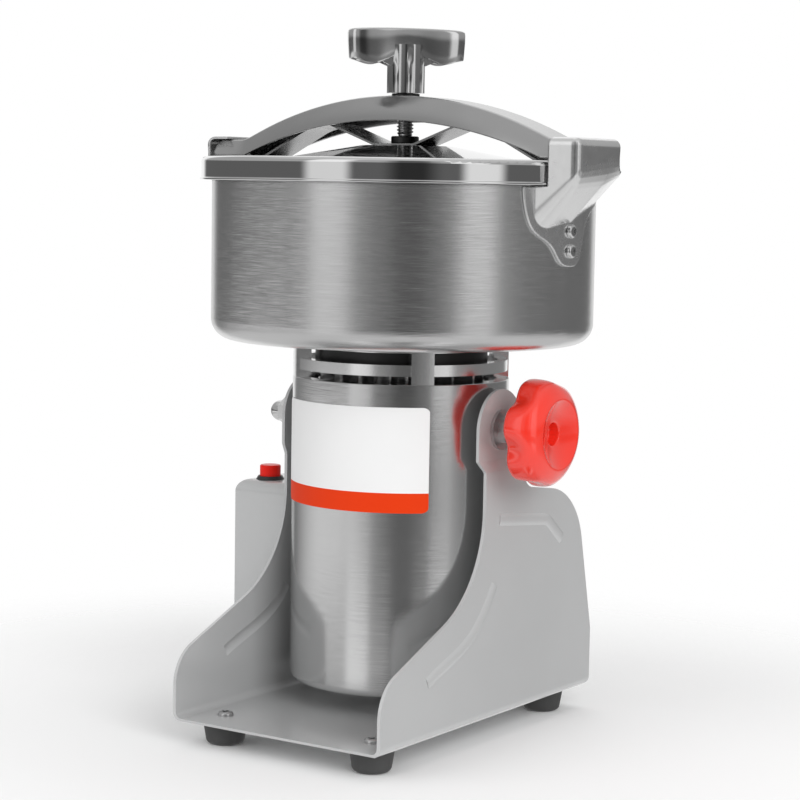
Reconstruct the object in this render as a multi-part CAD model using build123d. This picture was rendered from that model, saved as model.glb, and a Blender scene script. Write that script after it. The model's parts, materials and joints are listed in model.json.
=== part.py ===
from build123d import *
from math import asin, cos, degrees, hypot, pi, radians, sin, sqrt, tan
import os

# Swing-head grain mill, in millimetres, +Z up.
# Everything is modelled about the motor axis (x = y = 0, ground at z = 0). Only the export moves
# it along Y, so that the row's origin lies on the ground below the middle of the overall box.
# Front is -Y, the clamping star knob is at +X and the control box at -X.

# ---------------------------------------------------------------- driving dimensions
# Stand, one U-bent sheet
SHEET = 2.0                # sheet of the stand
FOOT_HEIGHT = 14.0         # rubber foot, ground to plate
FOOT_TOP_R = 13.4
FOOT_BOTTOM_R = 11.0
FOOT_X = 52.5              # foot centres, across
FOOT_INSET = 23.0          # foot centres, in from the front and rear edges
BASE_FRONT = 124.4         # axis to the front edge of the base
BASE_REAR = 110.4          # axis to the rear edge of the base
BEND_R = 5.8               # outside radius of the two long bends
JOGGLE = 2.0               # the ears are set in by this much
JOGGLE_RISE = 6.6          # height over which they step in
NOSE_RISE = 37.5           # front corner of the wall, above the plate's underside
NOSE_R = 25.0
CHEEK_SLOPE = 22.6         # degrees, the slanting top edge of the front cheek
NECK_FRONT = 18.4          # axis to the front edge of the narrow neck
NECK_R = 66.8              # concave sweep from cheek to neck
EAR_R = 24.0
EAR_DROP = 17.3            # the ear's straight side, below the pivot
SHOULDER_DROP = 36.0       # pivot to the level where ear and shoulder meet
SHOULDER_FALL = 7.7        # degrees, slope of the shoulder's top edge
SHOULDER_R = 45.0
REAR_SLANT = 13.1          # degrees from the vertical
REAR_KNEE = 37.5           # height of the rear knee above the plate's underside
BEAD_HEIGHT = 0.9
BEAD_WIDTH = 7.4

# Pivot
SIDE_GAP = 4.1             # tube to the inside of an ear
STUD_R = 5.0
PIVOT_RUN = 0.05           # radial clearance of pivots and threads that turn
BOSS_R = 11.0
BOSS_GAP = 0.3             # boss face to ear
WASHER_T = 2.0
WASHER_R = 12.0
SWING_GAP = 0.2            # tube corner over the base plate in full swing

# Motor tube
TUBE_R = 65.4
TUBE_T = 1.5
TUBE_BELOW = 157.1         # pivot down to the tube's bottom
TUBE_ABOVE = 27.5          # pivot up to the tube's top
TUBE_ROUND = 5.0
LABEL_HALF = 49.0          # degrees each side of the front
LABEL_HEIGHT = 61.5
LABEL_FROM_TOP = 13.0
LABEL_T = 0.3

# Neck casting
RING_RISE = 4.8            # tube top to the cooling ring
RING_HEIGHT = 6.6
RING_STEP = 1.2            # ring set in from the tube's surface
RING_WALL = 6.2
POST_WIDTH = 13.5
NECK_HEIGHT = 21.8         # tube top to the bowl's underside
SEAT_T = 4.0               # plate under the bowl
SPIGOT_DEPTH = 8.8

# Motor
SHAFT_R = 7.5
SHAFT_END_R = 6.0
STACK_BELOW = 87.4         # pivot down to the bottom of the laminations
STACK_HEIGHT = 69.0
STATOR_R = 53.0
STATOR_BORE = 30.6
AIR_GAP = 0.6
TIE_R = 46.0               # circle of the four tie bolts
TIE_BOLT_R = 2.5
BRACKET_T = 4.0
BRACKET_BELOW = 121.4      # pivot down to the top of the lower bracket
COMMUTATOR_R = 15.0
FAN_R = 50.0
FAN_HEIGHT = 8.0

# Bowl
BOWL_R = 115.0
BOWL_T = 1.5
BOWL_ROUND = 12.3
BOWL_HEIGHT = 104.0
RIM_LEDGE = 3.4
SEAL_R = 14.0

# Lid
LID_T = 1.2
LID_ROOM = 1.9             # radial room between the bowl's rim and the lid's skirt
LID_SKIRT = 9.65           # skirt below the bowl's rim
LID_RISE = 4.2             # rolled rim above the bowl's rim
LID_FLAT_DROP = 1.0        # flat annulus below the rolled rim
LID_ROUND = 3.0
LID_HEM = 0.8
CONE_R = 78.0
DOME_R = 29.0
DOME_RISE = 12.3           # central boss above the bowl's rim
STRAP_T = 1.3
STRAP_WIDTH = 25.0
STRAP_FOOT = 14.0
STRAP_PEAK_X = 46.5
STRAP_PEAK_RISE = 12.0

# Clamp beam, a pressed channel
BEAM_T = 1.8
BEAM_APEX = 29.6           # web's top above the lid's central boss
BEAM_R = 244.0
BEAM_TIP_GAP = 3.5         # beam end to the inside of the hook's outer wall
BEAM_WEB = 27.0
BEAM_SKIRT = 48.0
BEAM_DEPTH = 14.9
BEAM_EDGE_R = 277.0
BEAM_END_GAP = 1.7         # end of the beam over the lid's rolled rim
BEAM_END_DEPTH = 9.6
BEAM_TIP_R = 3.0
BEAM_TURN = 24.0           # degrees, where the arch runs straight
HOOK_GAP = 0.3             # beam end below the hook's roof

# Hook brackets, stamped sheet
HOOK_T = 1.5
HOOK_OVER = 14.5           # the hood stands out from the lid's skirt by this much
HOOK_TONGUE = 56.0         # bowl rim down to the tongue's tip
HOOK_SCREWS = (35.7, 47.1)  # bowl rim down to the two screws
HOOK_SHIFT = -2.5          # tongue and screws, off the beam's line

# Clamp screw and its handle
SCREW_R = 5.0
SCREW_PITCH = 2.0
COLLAR_R = 8.35
COLLAR_HEIGHT = 4.5
HANDLE_LENGTH = 71.0
HANDLE_TURN = 46.0         # degrees from +X
HANDLE_HEIGHT = 21.5
HANDLE_WAIST = 14.0        # bar's top to its underside at the middle
HANDLE_WIDTH = 20.0
STEM_R = 11.35
STEM_HEIGHT = 17.0

# Star knob
KNOB_R = 32.0
KNOB_LOBES = 7
KNOB_DEPTH = 22.0
KNOB_HUB = 8.0
KNOB_HUB_R = 11.5
SPACER_LENGTH = 6.5
SPACER_R = 7.5
COLLAR_LENGTH = 2.0
KNOB_COLLAR_R = 10.3
KNOB_PITCH = 1.5

# Control box
BOX_T = 1.5
BOX_WIDTH = 45.0
BOX_FRONT = 10.0           # axis forward to the box's front
BOX_REAR = 70.0
BOX_TOP = 44.8             # pivot down to the box's top
BOX_HEIGHT = 92.0
BOX_ROUND = 7.5
BUTTON_R = 6.6
BUTTON_HEIGHT = 9.2
BUTTON_TRAVEL = 3.0
BUTTON_Y = 4.0
BUTTON_IN = 28.0           # wall to the button's axis

SEAT = 0.3                 # gap where curved faces of different pieces face each other

# ---------------------------------------------------------------- levels and places that follow
LID_R = BOWL_R + RIM_LEDGE + LID_ROOM + LID_T
HOOK_REACH = LID_R + HOOK_OVER
BEAM_REACH = HOOK_REACH - HOOK_T - BEAM_TIP_GAP
PLATE_BOTTOM = FOOT_HEIGHT
PLATE_TOP = PLATE_BOTTOM + SHEET
PIVOT_Z = PLATE_TOP + hypot(TUBE_R, TUBE_BELOW) + SWING_GAP
EAR_IN = TUBE_R + SIDE_GAP
EAR_OUT = EAR_IN + SHEET
WALL_OUT = EAR_OUT + JOGGLE
WALL_IN = WALL_OUT - SHEET
JOGGLE_TOP = PIVOT_Z - EAR_DROP
JOGGLE_FOOT = JOGGLE_TOP - JOGGLE_RISE
TUBE_IN = TUBE_R - TUBE_T
TUBE_BOTTOM = PIVOT_Z - TUBE_BELOW
TUBE_TOP = PIVOT_Z + TUBE_ABOVE
BOWL_Z = TUBE_TOP + NECK_HEIGHT
RIM_Z = BOWL_Z + BOWL_HEIGHT
LID_FLAT_Z = RIM_Z + LID_RISE - LID_FLAT_DROP
DOME_Z = RIM_Z + DOME_RISE
STRAP_Z = DOME_Z + STRAP_T
BEAM_Z = DOME_Z + BEAM_APEX
BEAM_END_BOTTOM = RIM_Z + LID_RISE + BEAM_END_GAP
BEAM_END_TOP = BEAM_END_BOTTOM + BEAM_END_DEPTH
ROOF_IN_Z = BEAM_END_TOP + HOOK_GAP
STACK_Z = PIVOT_Z - STACK_BELOW
STACK_TOP = STACK_Z + STACK_HEIGHT
BRACKET_Z = PIVOT_Z - BRACKET_BELOW
BOX_TOP_Z = PIVOT_Z - BOX_TOP
BOX_LEFT = -(WALL_OUT + BOX_WIDTH)
AXIS_Y = (BASE_FRONT - max(LID_R + LID_HEM, BASE_REAR)) / 2

FRONT_LEFT = ((-1, -1), (1, -1), (1, 1), (-1, 1))
parts = {}


# ---------------------------------------------------------------- helpers
def disc(radius, low, high):
    """Upright cylinder between two heights."""
    return Pos(0, 0, low) * extrude(Circle(radius), high - low)


def ring(outer, inner, low, high):
    """Upright tube between two heights."""
    return Pos(0, 0, low) * extrude(Circle(outer) - Circle(inner), high - low)


def rod_x(radius, start, end, y=0, z=0):
    """Round bar along X."""
    return Pos(min(start, end), y, z) * Rot(0, 90, 0) * extrude(Circle(radius), abs(end - start))


def slab(low, high):
    """Box between two corners."""
    size = [b - a for a, b in zip(low, high)]
    middle = [(a + b) / 2 for a, b in zip(low, high)]
    return Pos(*middle) * Box(*size)


def sector(inner, outer, half_angle, low, high, towards=0):
    """Part of a tube, half_angle degrees each side of the direction towards."""
    reach = outer * 2
    edge = radians(half_angle)
    corners = [(0, 0), (reach * cos(edge), -reach * sin(edge)), (reach, 0), (reach * cos(edge), reach * sin(edge))]
    wedge = extrude(make_face(Polyline(*corners, close=True)), high - low)
    return Rot(0, 0, towards) * ((Pos(0, 0, low) * wedge) & ring(outer, inner, low, high))


def hexagon(flats, length):
    """Hexagonal bar along Z."""
    return extrude(RegularPolygon(flats / 2, 6, major_radius=False), length)


def four(shape):
    """Copies of a shape at 45, 135, 225 and 315 degrees; the shape itself lies along +X."""
    return [Rot(0, 0, 45 + 90 * turn) * shape for turn in range(4)]


def group(shapes):
    """Separate solids in one node."""
    return Compound([solid for shape in shapes for solid in shape.solids()])


def save(name, shape):
    """Keep a piece under its node name."""
    parts[name] = shape


# ---------------------------------------------------------------- stand
def stand_section():
    """U of the stand in the XZ plane, with the joggle that sets the ears in."""
    top = PIVOT_Z + EAR_R + 1
    outer = [(WALL_OUT, PLATE_BOTTOM), (WALL_OUT, JOGGLE_FOOT), (EAR_OUT, JOGGLE_TOP), (EAR_OUT, top)]
    inner = [(EAR_IN, top), (EAR_IN, JOGGLE_TOP), (WALL_IN, JOGGLE_FOOT), (WALL_IN, PLATE_TOP)]
    outer_radii = [BEND_R, 4, 4, 0]
    inner_radii = [0, 4, 4, BEND_R - SHEET]
    right = outer + inner
    left = [(-x, z) for x, z in reversed(right)]
    radii = outer_radii + inner_radii
    return make_face(FilletPolyline(*(right + left), radius=radii + radii[::-1], close=True))


def wall_profile():
    """Side view of the stand in (y, z)."""
    nose = PLATE_BOTTOM + NOSE_RISE
    slope = tan(radians(CHEEK_SLOPE))
    crotch = nose + slope * (BASE_FRONT - NECK_FRONT)
    top = PIVOT_Z + EAR_R
    shoulder = PIVOT_Z - SHOULDER_DROP
    knee = PLATE_BOTTOM + REAR_KNEE
    fall = tan(radians(SHOULDER_FALL))
    lean = tan(radians(REAR_SLANT))
    corner_z = (shoulder - fall * (BASE_REAR + lean * knee - EAR_R)) / (1 - fall * lean)
    corner_y = BASE_REAR - lean * (corner_z - knee)
    points = [
        (-BASE_FRONT, PLATE_BOTTOM, 2),
        (-BASE_FRONT, nose, NOSE_R),
        (-NECK_FRONT, crotch, NECK_R),
        (-NECK_FRONT, JOGGLE_FOOT, 3),
        (-EAR_R, JOGGLE_TOP, 3),
        (-EAR_R, top, EAR_R - 0.05),
        (EAR_R, top, EAR_R - 0.05),
        (EAR_R, shoulder, 12),
        (corner_y, corner_z, SHOULDER_R),
        (BASE_REAR, knee, 20),
        (BASE_REAR, PLATE_BOTTOM, 4),
    ]
    outline = FilletPolyline(*[(y, z) for y, z, r in points], radius=[r for y, z, r in points], close=True)
    return make_face(outline)


def bead_paths(side):
    """Centre lines of a wall's pressed beads, in (y, z); under the control box the sheet stays flat."""
    high = PIVOT_Z - 53.0
    low = PLATE_BOTTOM + 34.2
    front = [(-17.5, low + 32.6), (-33.2, low + 18.5), (-54.3, low + 9.1), (-78, low)]
    if side < 0:
        return [Spline(*front)]
    upper = FilletPolyline((-3, high), (53, high - 6), (71, high - 20), radius=14)
    return [upper, Spline((-7, low + 47.1), *front)]


def bead(path, x):
    """Round bar along a bead's path, lying at the depth x."""
    radius = (BEAD_WIDTH ** 2 / 4 + BEAD_HEIGHT ** 2) / (2 * BEAD_HEIGHT)
    to_wall = Plane(origin=(x + BEAD_HEIGHT - radius, 0, 0), x_dir=(0, 1, 0), z_dir=(1, 0, 0))
    line = to_wall * path
    start = Plane(origin=line @ 0, z_dir=line % 0)
    return sweep(start * Circle(radius), path=line)


def stand_frame():
    body = extrude(Plane.XZ * stand_section(), BASE_FRONT + 20, both=True)
    side = Plane(origin=(0, 0, 0), x_dir=(0, 1, 0), z_dir=(1, 0, 0)) * wall_profile()
    body = body & extrude(side, WALL_OUT + 5, both=True)
    outside = slab((WALL_OUT - 0.5, -200, 0), (WALL_OUT + BEAD_HEIGHT + 1, 200, 300))
    inside = slab((WALL_IN - 1, -200, 0), (WALL_IN + BEAD_HEIGHT + 0.2, 200, 300))
    for side in (1, -1):
        for path in bead_paths(side):
            ridge = bead(path, WALL_OUT) & outside
            groove = bead(path, WALL_IN) & inside
            if side < 0:
                ridge = mirror(ridge, about=Plane.YZ)
                groove = mirror(groove, about=Plane.YZ)
            body = body + ridge - groove
    body = body - rod_x(STUD_R + PIVOT_RUN, -WALL_OUT - 5, WALL_OUT + 5, z=PIVOT_Z)
    for x, y in foot_places():
        body = body - Pos(x, y, 0) * disc(2.6, PLATE_BOTTOM - 1, PLATE_TOP + 1)
    for y, z in box_screw_places():
        body = body - rod_x(2.2, -WALL_OUT - 5, -WALL_IN + 5, y, z)
    return body - rod_x(GROMMET_R, -WALL_OUT - 5, -WALL_IN + 5, GROMMET_Y, GROMMET_Z)


def foot_places():
    front = -BASE_FRONT + FOOT_INSET
    rear = BASE_REAR - FOOT_INSET
    return [(sx * FOOT_X, front if sy < 0 else rear) for sx, sy in FRONT_LEFT]


def rubber_foot():
    cone = loft([Circle(FOOT_BOTTOM_R), Pos(0, 0, FOOT_HEIGHT) * Circle(FOOT_TOP_R)])
    cone = fillet(cone.edges().group_by(Axis.Z)[0], 3.0)
    return cone - disc(2.7, 5.0, FOOT_HEIGHT + 1) - disc(5.5, -1, 5.5)


def foot_screw():
    """Pan-head screw from above, its nut sits in the foot's recess."""
    head = Pos(0, 0, PLATE_TOP) * extrude(Circle(4.6), 2.4)
    head = fillet(head.edges().group_by(Axis.Z)[-1], 1.6)
    slots = slab((-0.6, -2.6, PLATE_TOP + 1.2), (0.6, 2.6, PLATE_TOP + 3)) + slab(
        (-2.6, -0.6, PLATE_TOP + 1.2), (2.6, 0.6, PLATE_TOP + 3)
    )
    return head + disc(2.5, 1.5, PLATE_TOP) - slots


def foot_nut():
    return Pos(0, 0, 2.3) * hexagon(8.0, 3.2) - disc(2.5, 0, 8)


# ---------------------------------------------------------------- control box
GROMMET_R = 6.0
GROMMET_Y = 30.0
GROMMET_Z = BOX_TOP_Z - 40.0
POST_R = 4.0
POST_INSET = 8.0
POST_DROP = 31.0
INLET_Z = BOX_TOP_Z - 62.0


def box_screw_places():
    """The four corner posts of the box, as (y, z)."""
    ys = (-BOX_FRONT + POST_INSET, BOX_REAR - POST_INSET)
    zs = (BOX_TOP_Z - BOX_HEIGHT + POST_INSET, BOX_TOP_Z - POST_DROP)
    return [(y, z) for y in ys for z in zs]


def box_block(inset, radius):
    low = (BOX_LEFT + inset, -BOX_FRONT + inset, BOX_TOP_Z - BOX_HEIGHT + inset)
    high = (-WALL_OUT + (5 if inset else 0), BOX_REAR - inset, BOX_TOP_Z - inset)
    block = slab(low, high)
    top = block.faces().sort_by(Axis.Z)[-1]
    left_top = top.edges().sort_by(Axis.X)[0]
    front_top = top.edges().sort_by(Axis.Y)[0]
    return fillet([left_top, front_top], radius)


def button_place():
    return Pos(-WALL_OUT - BUTTON_IN, BUTTON_Y, 0)


def control_box():
    shell = box_block(0, BOX_ROUND) - box_block(BOX_T, BOX_ROUND - BOX_T)
    for y, z in box_screw_places():
        post = rod_x(POST_R, BOX_LEFT + BOX_T - 0.5, -WALL_OUT, y, z) & box_block(0, BOX_ROUND)
        shell = shell + post - rod_x(1.6, -WALL_OUT - 22, -WALL_OUT + 1, y, z)
    shell = shell - button_place() * disc(8.0, BOX_TOP_Z - 5, BOX_TOP_Z + 1)
    middle = -WALL_OUT - BOX_WIDTH / 2
    opening = slab((middle - 13.5, BOX_REAR - 5, INLET_Z - 10), (middle + 13.5, BOX_REAR + 5, INLET_Z + 10))
    return shell - opening


def box_screw(y, z):
    head = fillet(rod_x(3.6, -WALL_IN, -WALL_IN + 2.2, y, z).edges().group_by(Axis.X)[-1], 1.2)
    return head + rod_x(1.6, -WALL_OUT - 14, -WALL_IN, y, z)


def power_inlet():
    """Snap-in appliance inlet: flange outside, body inside, a socket with three pins."""
    middle = -WALL_OUT - BOX_WIDTH / 2
    flange = slab((middle - 15.5, BOX_REAR, INLET_Z - 12), (middle + 15.5, BOX_REAR + 3, INLET_Z + 12))
    flange = fillet(flange.edges().filter_by(Axis.Y), 2.5)
    body = slab((middle - 13.3, BOX_REAR - 19, INLET_Z - 9.8), (middle + 13.3, BOX_REAR, INLET_Z + 9.8))
    socket = slab((middle - 12, BOX_REAR - 15, INLET_Z - 8), (middle + 12, BOX_REAR + 4, INLET_Z + 8))
    upper = [e for e in socket.edges().filter_by(Axis.Y) if e.center().Z > INLET_Z]
    inlet = flange + body - chamfer(upper, 4.0)
    for pin in inlet_pin_blocks():
        inlet = inlet - pin
    return inlet


def inlet_pin_blocks():
    middle = -WALL_OUT - BOX_WIDTH / 2
    places = ((-7, -2), (7, -2), (0, 2))
    return [
        slab((middle + x - 1, BOX_REAR - 23, INLET_Z + z - 2), (middle + x + 1, BOX_REAR - 2, INLET_Z + z + 2))
        for x, z in places
    ]


def switch_body():
    """Push switch: bezel outside, body inside, with a well that the button travels in."""
    well = BOX_TOP_Z - BUTTON_TRAVEL - 1.5
    bezel = loft([Pos(0, 0, BOX_TOP_Z) * Circle(9.0), Pos(0, 0, BOX_TOP_Z + 2.2) * Circle(7.7)])
    body = disc(7.9, BOX_TOP_Z - 24, BOX_TOP_Z) + bezel
    body = body - disc(BUTTON_R + SEAT, well, BOX_TOP_Z + 5) - disc(2.5 + PIVOT_RUN, well - 12, BOX_TOP_Z)
    return button_place() * body


def power_button():
    low = BOX_TOP_Z + 0.2
    cap = disc(BUTTON_R, low, low + BUTTON_HEIGHT - 0.2)
    cap = fillet(cap.edges().group_by(Axis.Z)[-1], 1.0)
    return button_place() * (cap + disc(2.5, low - 10, low))


def lead_grommet():
    """Rubber bush where the motor's lead passes the wall inside the control box."""
    body = rod_x(GROMMET_R, -WALL_OUT, -WALL_IN, GROMMET_Y, GROMMET_Z)
    lips = rod_x(GROMMET_R + 2, -WALL_OUT - 1.8, -WALL_OUT, GROMMET_Y, GROMMET_Z) + rod_x(
        GROMMET_R + 2, -WALL_IN, -WALL_IN + 1.5, GROMMET_Y, GROMMET_Z
    )
    return body + lips - rod_x(3.5, -WALL_OUT - 5, -WALL_IN + 5, GROMMET_Y, GROMMET_Z)


# ---------------------------------------------------------------- motor tube and its pivots
def motor_tube():
    outer = disc(TUBE_R, TUBE_BOTTOM, TUBE_TOP)
    outer = fillet(outer.edges().group_by(Axis.Z)[0], TUBE_ROUND)
    inner = disc(TUBE_IN, TUBE_BOTTOM + TUBE_T, TUBE_TOP + 1)
    inner = fillet(inner.edges().group_by(Axis.Z)[0], TUBE_ROUND - TUBE_T)
    tube = outer - inner - disc(TUBE_R - 14, TUBE_BOTTOM - 1, TUBE_BOTTOM + 3)
    tube = tube - rod_x(BOSS_R - 3, -TUBE_R - 5, TUBE_R + 5, z=PIVOT_Z)
    for hole in four(Pos(TUBE_R - 9.5, 0, 0) * disc(2.1, TUBE_BOTTOM - 1, TUBE_BOTTOM + 3)):
        tube = tube - hole
    for hole in four(rod_x(2.1, TUBE_IN - 2, TUBE_R + 2, z=TUBE_TOP - 5)):
        tube = tube - hole
    return tube


GLAND_Y = -43.0


def bottom_plate():
    """Vented plate that closes the tube from the inside."""
    low = TUBE_BOTTOM + TUBE_T
    plate = disc(TUBE_IN - TUBE_ROUND, low, low + 2)
    for row in range(3):
        for turn in range(12):
            plate = plate - Rot(0, 0, 15 + 30 * turn) * Pos(16 + 12 * row, 0, 0) * disc(2.2, low - 1, low + 3)
    for hole in four(Pos(TUBE_R - 9.5, 0, 0) * disc(1.6, low - 1, low + 3)):
        plate = plate - hole
    return plate - Pos(0, GLAND_Y, 0) * disc(4.5, low - 1, low + 3)


def bottom_screw():
    head = fillet(disc(3.5, TUBE_BOTTOM - 1.2, TUBE_BOTTOM).edges().group_by(Axis.Z)[0], 0.8)
    return Pos(TUBE_R - 9.5, 0, 0) * (head + disc(1.6, TUBE_BOTTOM, TUBE_BOTTOM + 7))


def lead_gland():
    """Gland for the motor's lead in the bottom plate."""
    low = TUBE_BOTTOM + TUBE_T
    gland = disc(4.5, low, low + 2) + disc(6.5, low + 2, low + 6) + disc(6.0, low - 1, low)
    return Pos(0, GLAND_Y, 0) * (gland - disc(2.8, low - 5, low + 10))


def label_plate():
    top = TUBE_TOP - LABEL_FROM_TOP
    plate = sector(TUBE_R + SEAT, TUBE_R + SEAT + LABEL_T, LABEL_HALF, top - LABEL_HEIGHT, top, towards=-90)
    width = 2 * (TUBE_R + SEAT) * sin(radians(LABEL_HALF))
    window = Plane.XZ * extrude(RectangleRounded(width, LABEL_HEIGHT, 3), 200)
    return plate & (Pos(0, 0, top - LABEL_HEIGHT / 2) * window)


def pivot_boss(side):
    outside = rod_x(BOSS_R, TUBE_IN - 6, EAR_IN - BOSS_GAP, z=PIVOT_Z) - disc(TUBE_R, PIVOT_Z - 40, PIVOT_Z + 40)
    boss = outside + rod_x(BOSS_R - 3, TUBE_IN - 10, TUBE_R + 0.5, z=PIVOT_Z)
    boss = boss - rod_x(STUD_R + PIVOT_RUN, 0, TUBE_R + 20, z=PIVOT_Z)
    return boss if side > 0 else mirror(boss, about=Plane.YZ)


def washer_x(radius, start, end):
    return rod_x(radius, start, end, z=PIVOT_Z) - rod_x(STUD_R + PIVOT_RUN, start - 1, end + 1, z=PIVOT_Z)


NUT_T = 8.0
DOME_NUT_R = 6.6
DOME_NUT_LENGTH = 15.4


def pivot_nut():
    start = -EAR_OUT - WASHER_T
    nut = Pos(start, 0, PIVOT_Z) * Rot(0, -90, 0) * hexagon(17, NUT_T)
    return nut - rod_x(STUD_R, start - 20, start + 5, z=PIVOT_Z)


def dome_nut():
    start = -EAR_OUT - WASHER_T - NUT_T
    flats = Pos(start, 0, PIVOT_Z) * Rot(0, -90, 0) * hexagon(15, 6)
    tip = start - DOME_NUT_LENGTH + DOME_NUT_R
    dome = Pos(tip, 0, PIVOT_Z) * Sphere(DOME_NUT_R) + rod_x(DOME_NUT_R, tip, start, z=PIVOT_Z)
    return flats + dome - rod_x(STUD_R, start - 7, start + 5, z=PIVOT_Z)


def pivot_stud():
    return rod_x(STUD_R, -EAR_OUT - WASHER_T - NUT_T - 7, -TUBE_IN + 7, z=PIVOT_Z)


# ---------------------------------------------------------------- star knob
SPACER_START = EAR_OUT + WASHER_T
SPACER_END = SPACER_START + SPACER_LENGTH
KNOB_BACK = SPACER_END + COLLAR_LENGTH + KNOB_HUB


def star_knob():
    """Seven-lobed grip with a domed rim, a dished face and a blind hole."""
    front = KNOB_BACK + KNOB_DEPTH
    half = [
        (0, KNOB_BACK - KNOB_HUB),
        (KNOB_HUB_R, KNOB_BACK - KNOB_HUB),
        (KNOB_HUB_R + 1, KNOB_BACK - 1),
        (KNOB_R - 4, KNOB_BACK),
        (KNOB_R, KNOB_BACK + 3),
        (KNOB_R - 0.5, front - 7),
    ]
    rim = ThreePointArc(half[-1], (KNOB_R - 3.4, front - 2.4), (KNOB_R - 11.4, front))
    dish = ThreePointArc(rim @ 1, (KNOB_R - 18.5, front - 3.7), (6.7, front - 5))
    hole = Polyline(dish @ 1, (6.2, front - 12), (0, front - 12), half[0])
    profile = make_face(Polyline(*half) + rim + dish + hole)
    body = revolve(Plane.XZ * profile, Axis.Z)
    pitch = 360 / KNOB_LOBES
    flute_r = 12.0
    flute = Pos(KNOB_R + 8.2, 0, KNOB_BACK - 2) * extrude(Circle(flute_r), front - KNOB_BACK, taper=18)
    for lobe in range(KNOB_LOBES):
        body = body - Rot(0, 0, pitch * (lobe + 0.5)) * flute
    body = body - disc(STUD_R, KNOB_BACK - KNOB_HUB - 1, front - 14)
    return Pos(0, 0, PIVOT_Z) * Rot(0, 90, 0) * Rot(0, 0, KNOB_PHASE) * body


KNOB_PHASE = 205.6 - 90.0


def knob_stud():
    return rod_x(STUD_R, TUBE_IN - 8, KNOB_BACK + KNOB_DEPTH - 14, z=PIVOT_Z)


# ---------------------------------------------------------------- neck casting
def neck_casting():
    """Spigot, four posts, cooling ring and the plate that the bowl stands on."""
    spigot = ring(TUBE_IN - 0.1, TUBE_IN - RING_WALL, TUBE_TOP - SPIGOT_DEPTH, TUBE_TOP)
    floor = disc(TUBE_IN - 1, TUBE_TOP - SPIGOT_DEPTH, TUBE_TOP - SPIGOT_DEPTH + 4) - disc(22, 0, 400)
    for turn in range(4):
        window = sector(28, TUBE_IN - RING_WALL - 2, 27, TUBE_TOP - SPIGOT_DEPTH - 1, TUBE_TOP, 90 * turn)
        floor = floor - window
    cooling = ring(TUBE_R - RING_STEP, TUBE_R - RING_STEP - RING_WALL, RING_Z, RING_Z + RING_HEIGHT)
    seat = disc(TUBE_R - 8, BOWL_Z - SEAT_T, BOWL_Z)
    hub = disc(24, HUB_Z, BOWL_Z - SEAT_T)
    shroud = ring(SHROUD_R, SHROUD_R - 3, RING_Z + 2, BOWL_Z - SEAT_T)
    casting = spigot + floor + cooling + seat + hub + shroud
    post_inner = TUBE_R - RING_STEP - RING_WALL
    post = slab((post_inner - 2, -POST_WIDTH / 2, TUBE_TOP), (TUBE_R + 3, POST_WIDTH / 2, BOWL_Z))
    lower = slab((post_inner - 2, -POST_WIDTH / 2, TUBE_TOP - SPIGOT_DEPTH), (TUBE_IN + 3, POST_WIDTH / 2, TUBE_TOP))
    post = (post & disc(TUBE_R, 0, 400)) + (lower & disc(TUBE_IN - 0.1, 0, 400))
    pillar = Pos(TIE_R, 0, 0) * disc(5.5, STACK_TOP, TUBE_TOP - SPIGOT_DEPTH + 4)
    for piece in four(post) + four(pillar):
        casting = casting + piece
    for hole in four(Pos(TIE_R, 0, 0) * disc(TIE_BOLT_R, STACK_TOP - 1, TUBE_TOP - SPIGOT_DEPTH + 1)):
        casting = casting - hole
    for hole in four(Pos(BOWL_SCREW_R, 0, 0) * disc(2.5, BOWL_Z - SEAT_T - 1, BOWL_Z + 1)):
        casting = casting - hole
    casting = casting - disc(UPPER_BEARING_R, HUB_Z - 1, HUB_Z + 11)
    return casting - disc(SHAFT_R + 1.5, HUB_Z, BOWL_Z + 1)


RING_Z = TUBE_TOP + RING_RISE
HUB_Z = BOWL_Z - SEAT_T - 11.0
UPPER_BEARING_R = 17.5
LOWER_BEARING_R = 16.0
BOWL_SCREW_R = 36.0
SHROUD_R = FAN_R + 2.0


# ---------------------------------------------------------------- motor
POLE_HALF = 38.0
COIL_HALF = 62.0
COIL_IN = STATOR_BORE + 3.4
COIL_OUT = STATOR_BORE + 13.0
COIL_END = 8.0


def stator_core():
    core = ring(STATOR_R, STATOR_BORE, STACK_Z, STACK_TOP)
    for side in (0, 180):
        slot = sector(COIL_IN, COIL_OUT, COIL_HALF, STACK_Z - 1, STACK_TOP + 1, side)
        pole = sector(COIL_IN - 1, COIL_OUT + 1, POLE_HALF, STACK_Z - 2, STACK_TOP + 2, side)
        core = core - (slot - pole)
    for hole in four(Pos(TIE_R, 0, 0) * disc(TIE_BOLT_R + 0.1, STACK_Z - 1, STACK_TOP + 1)):
        core = core - hole
    return core


def field_coil(side):
    coil = sector(COIL_IN, COIL_OUT, COIL_HALF, STACK_Z - COIL_END, STACK_TOP + COIL_END, side)
    pole = sector(COIL_IN - 1, COIL_OUT + 1, POLE_HALF, STACK_Z, STACK_TOP, side)
    relief = [Pos(TIE_R, 0, 0) * disc(6.2, STACK_Z - COIL_END - 1, STACK_TOP + COIL_END + 1)]
    coil = coil - pole
    for pillar in four(relief[0]):
        coil = coil - pillar
    return coil


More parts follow.
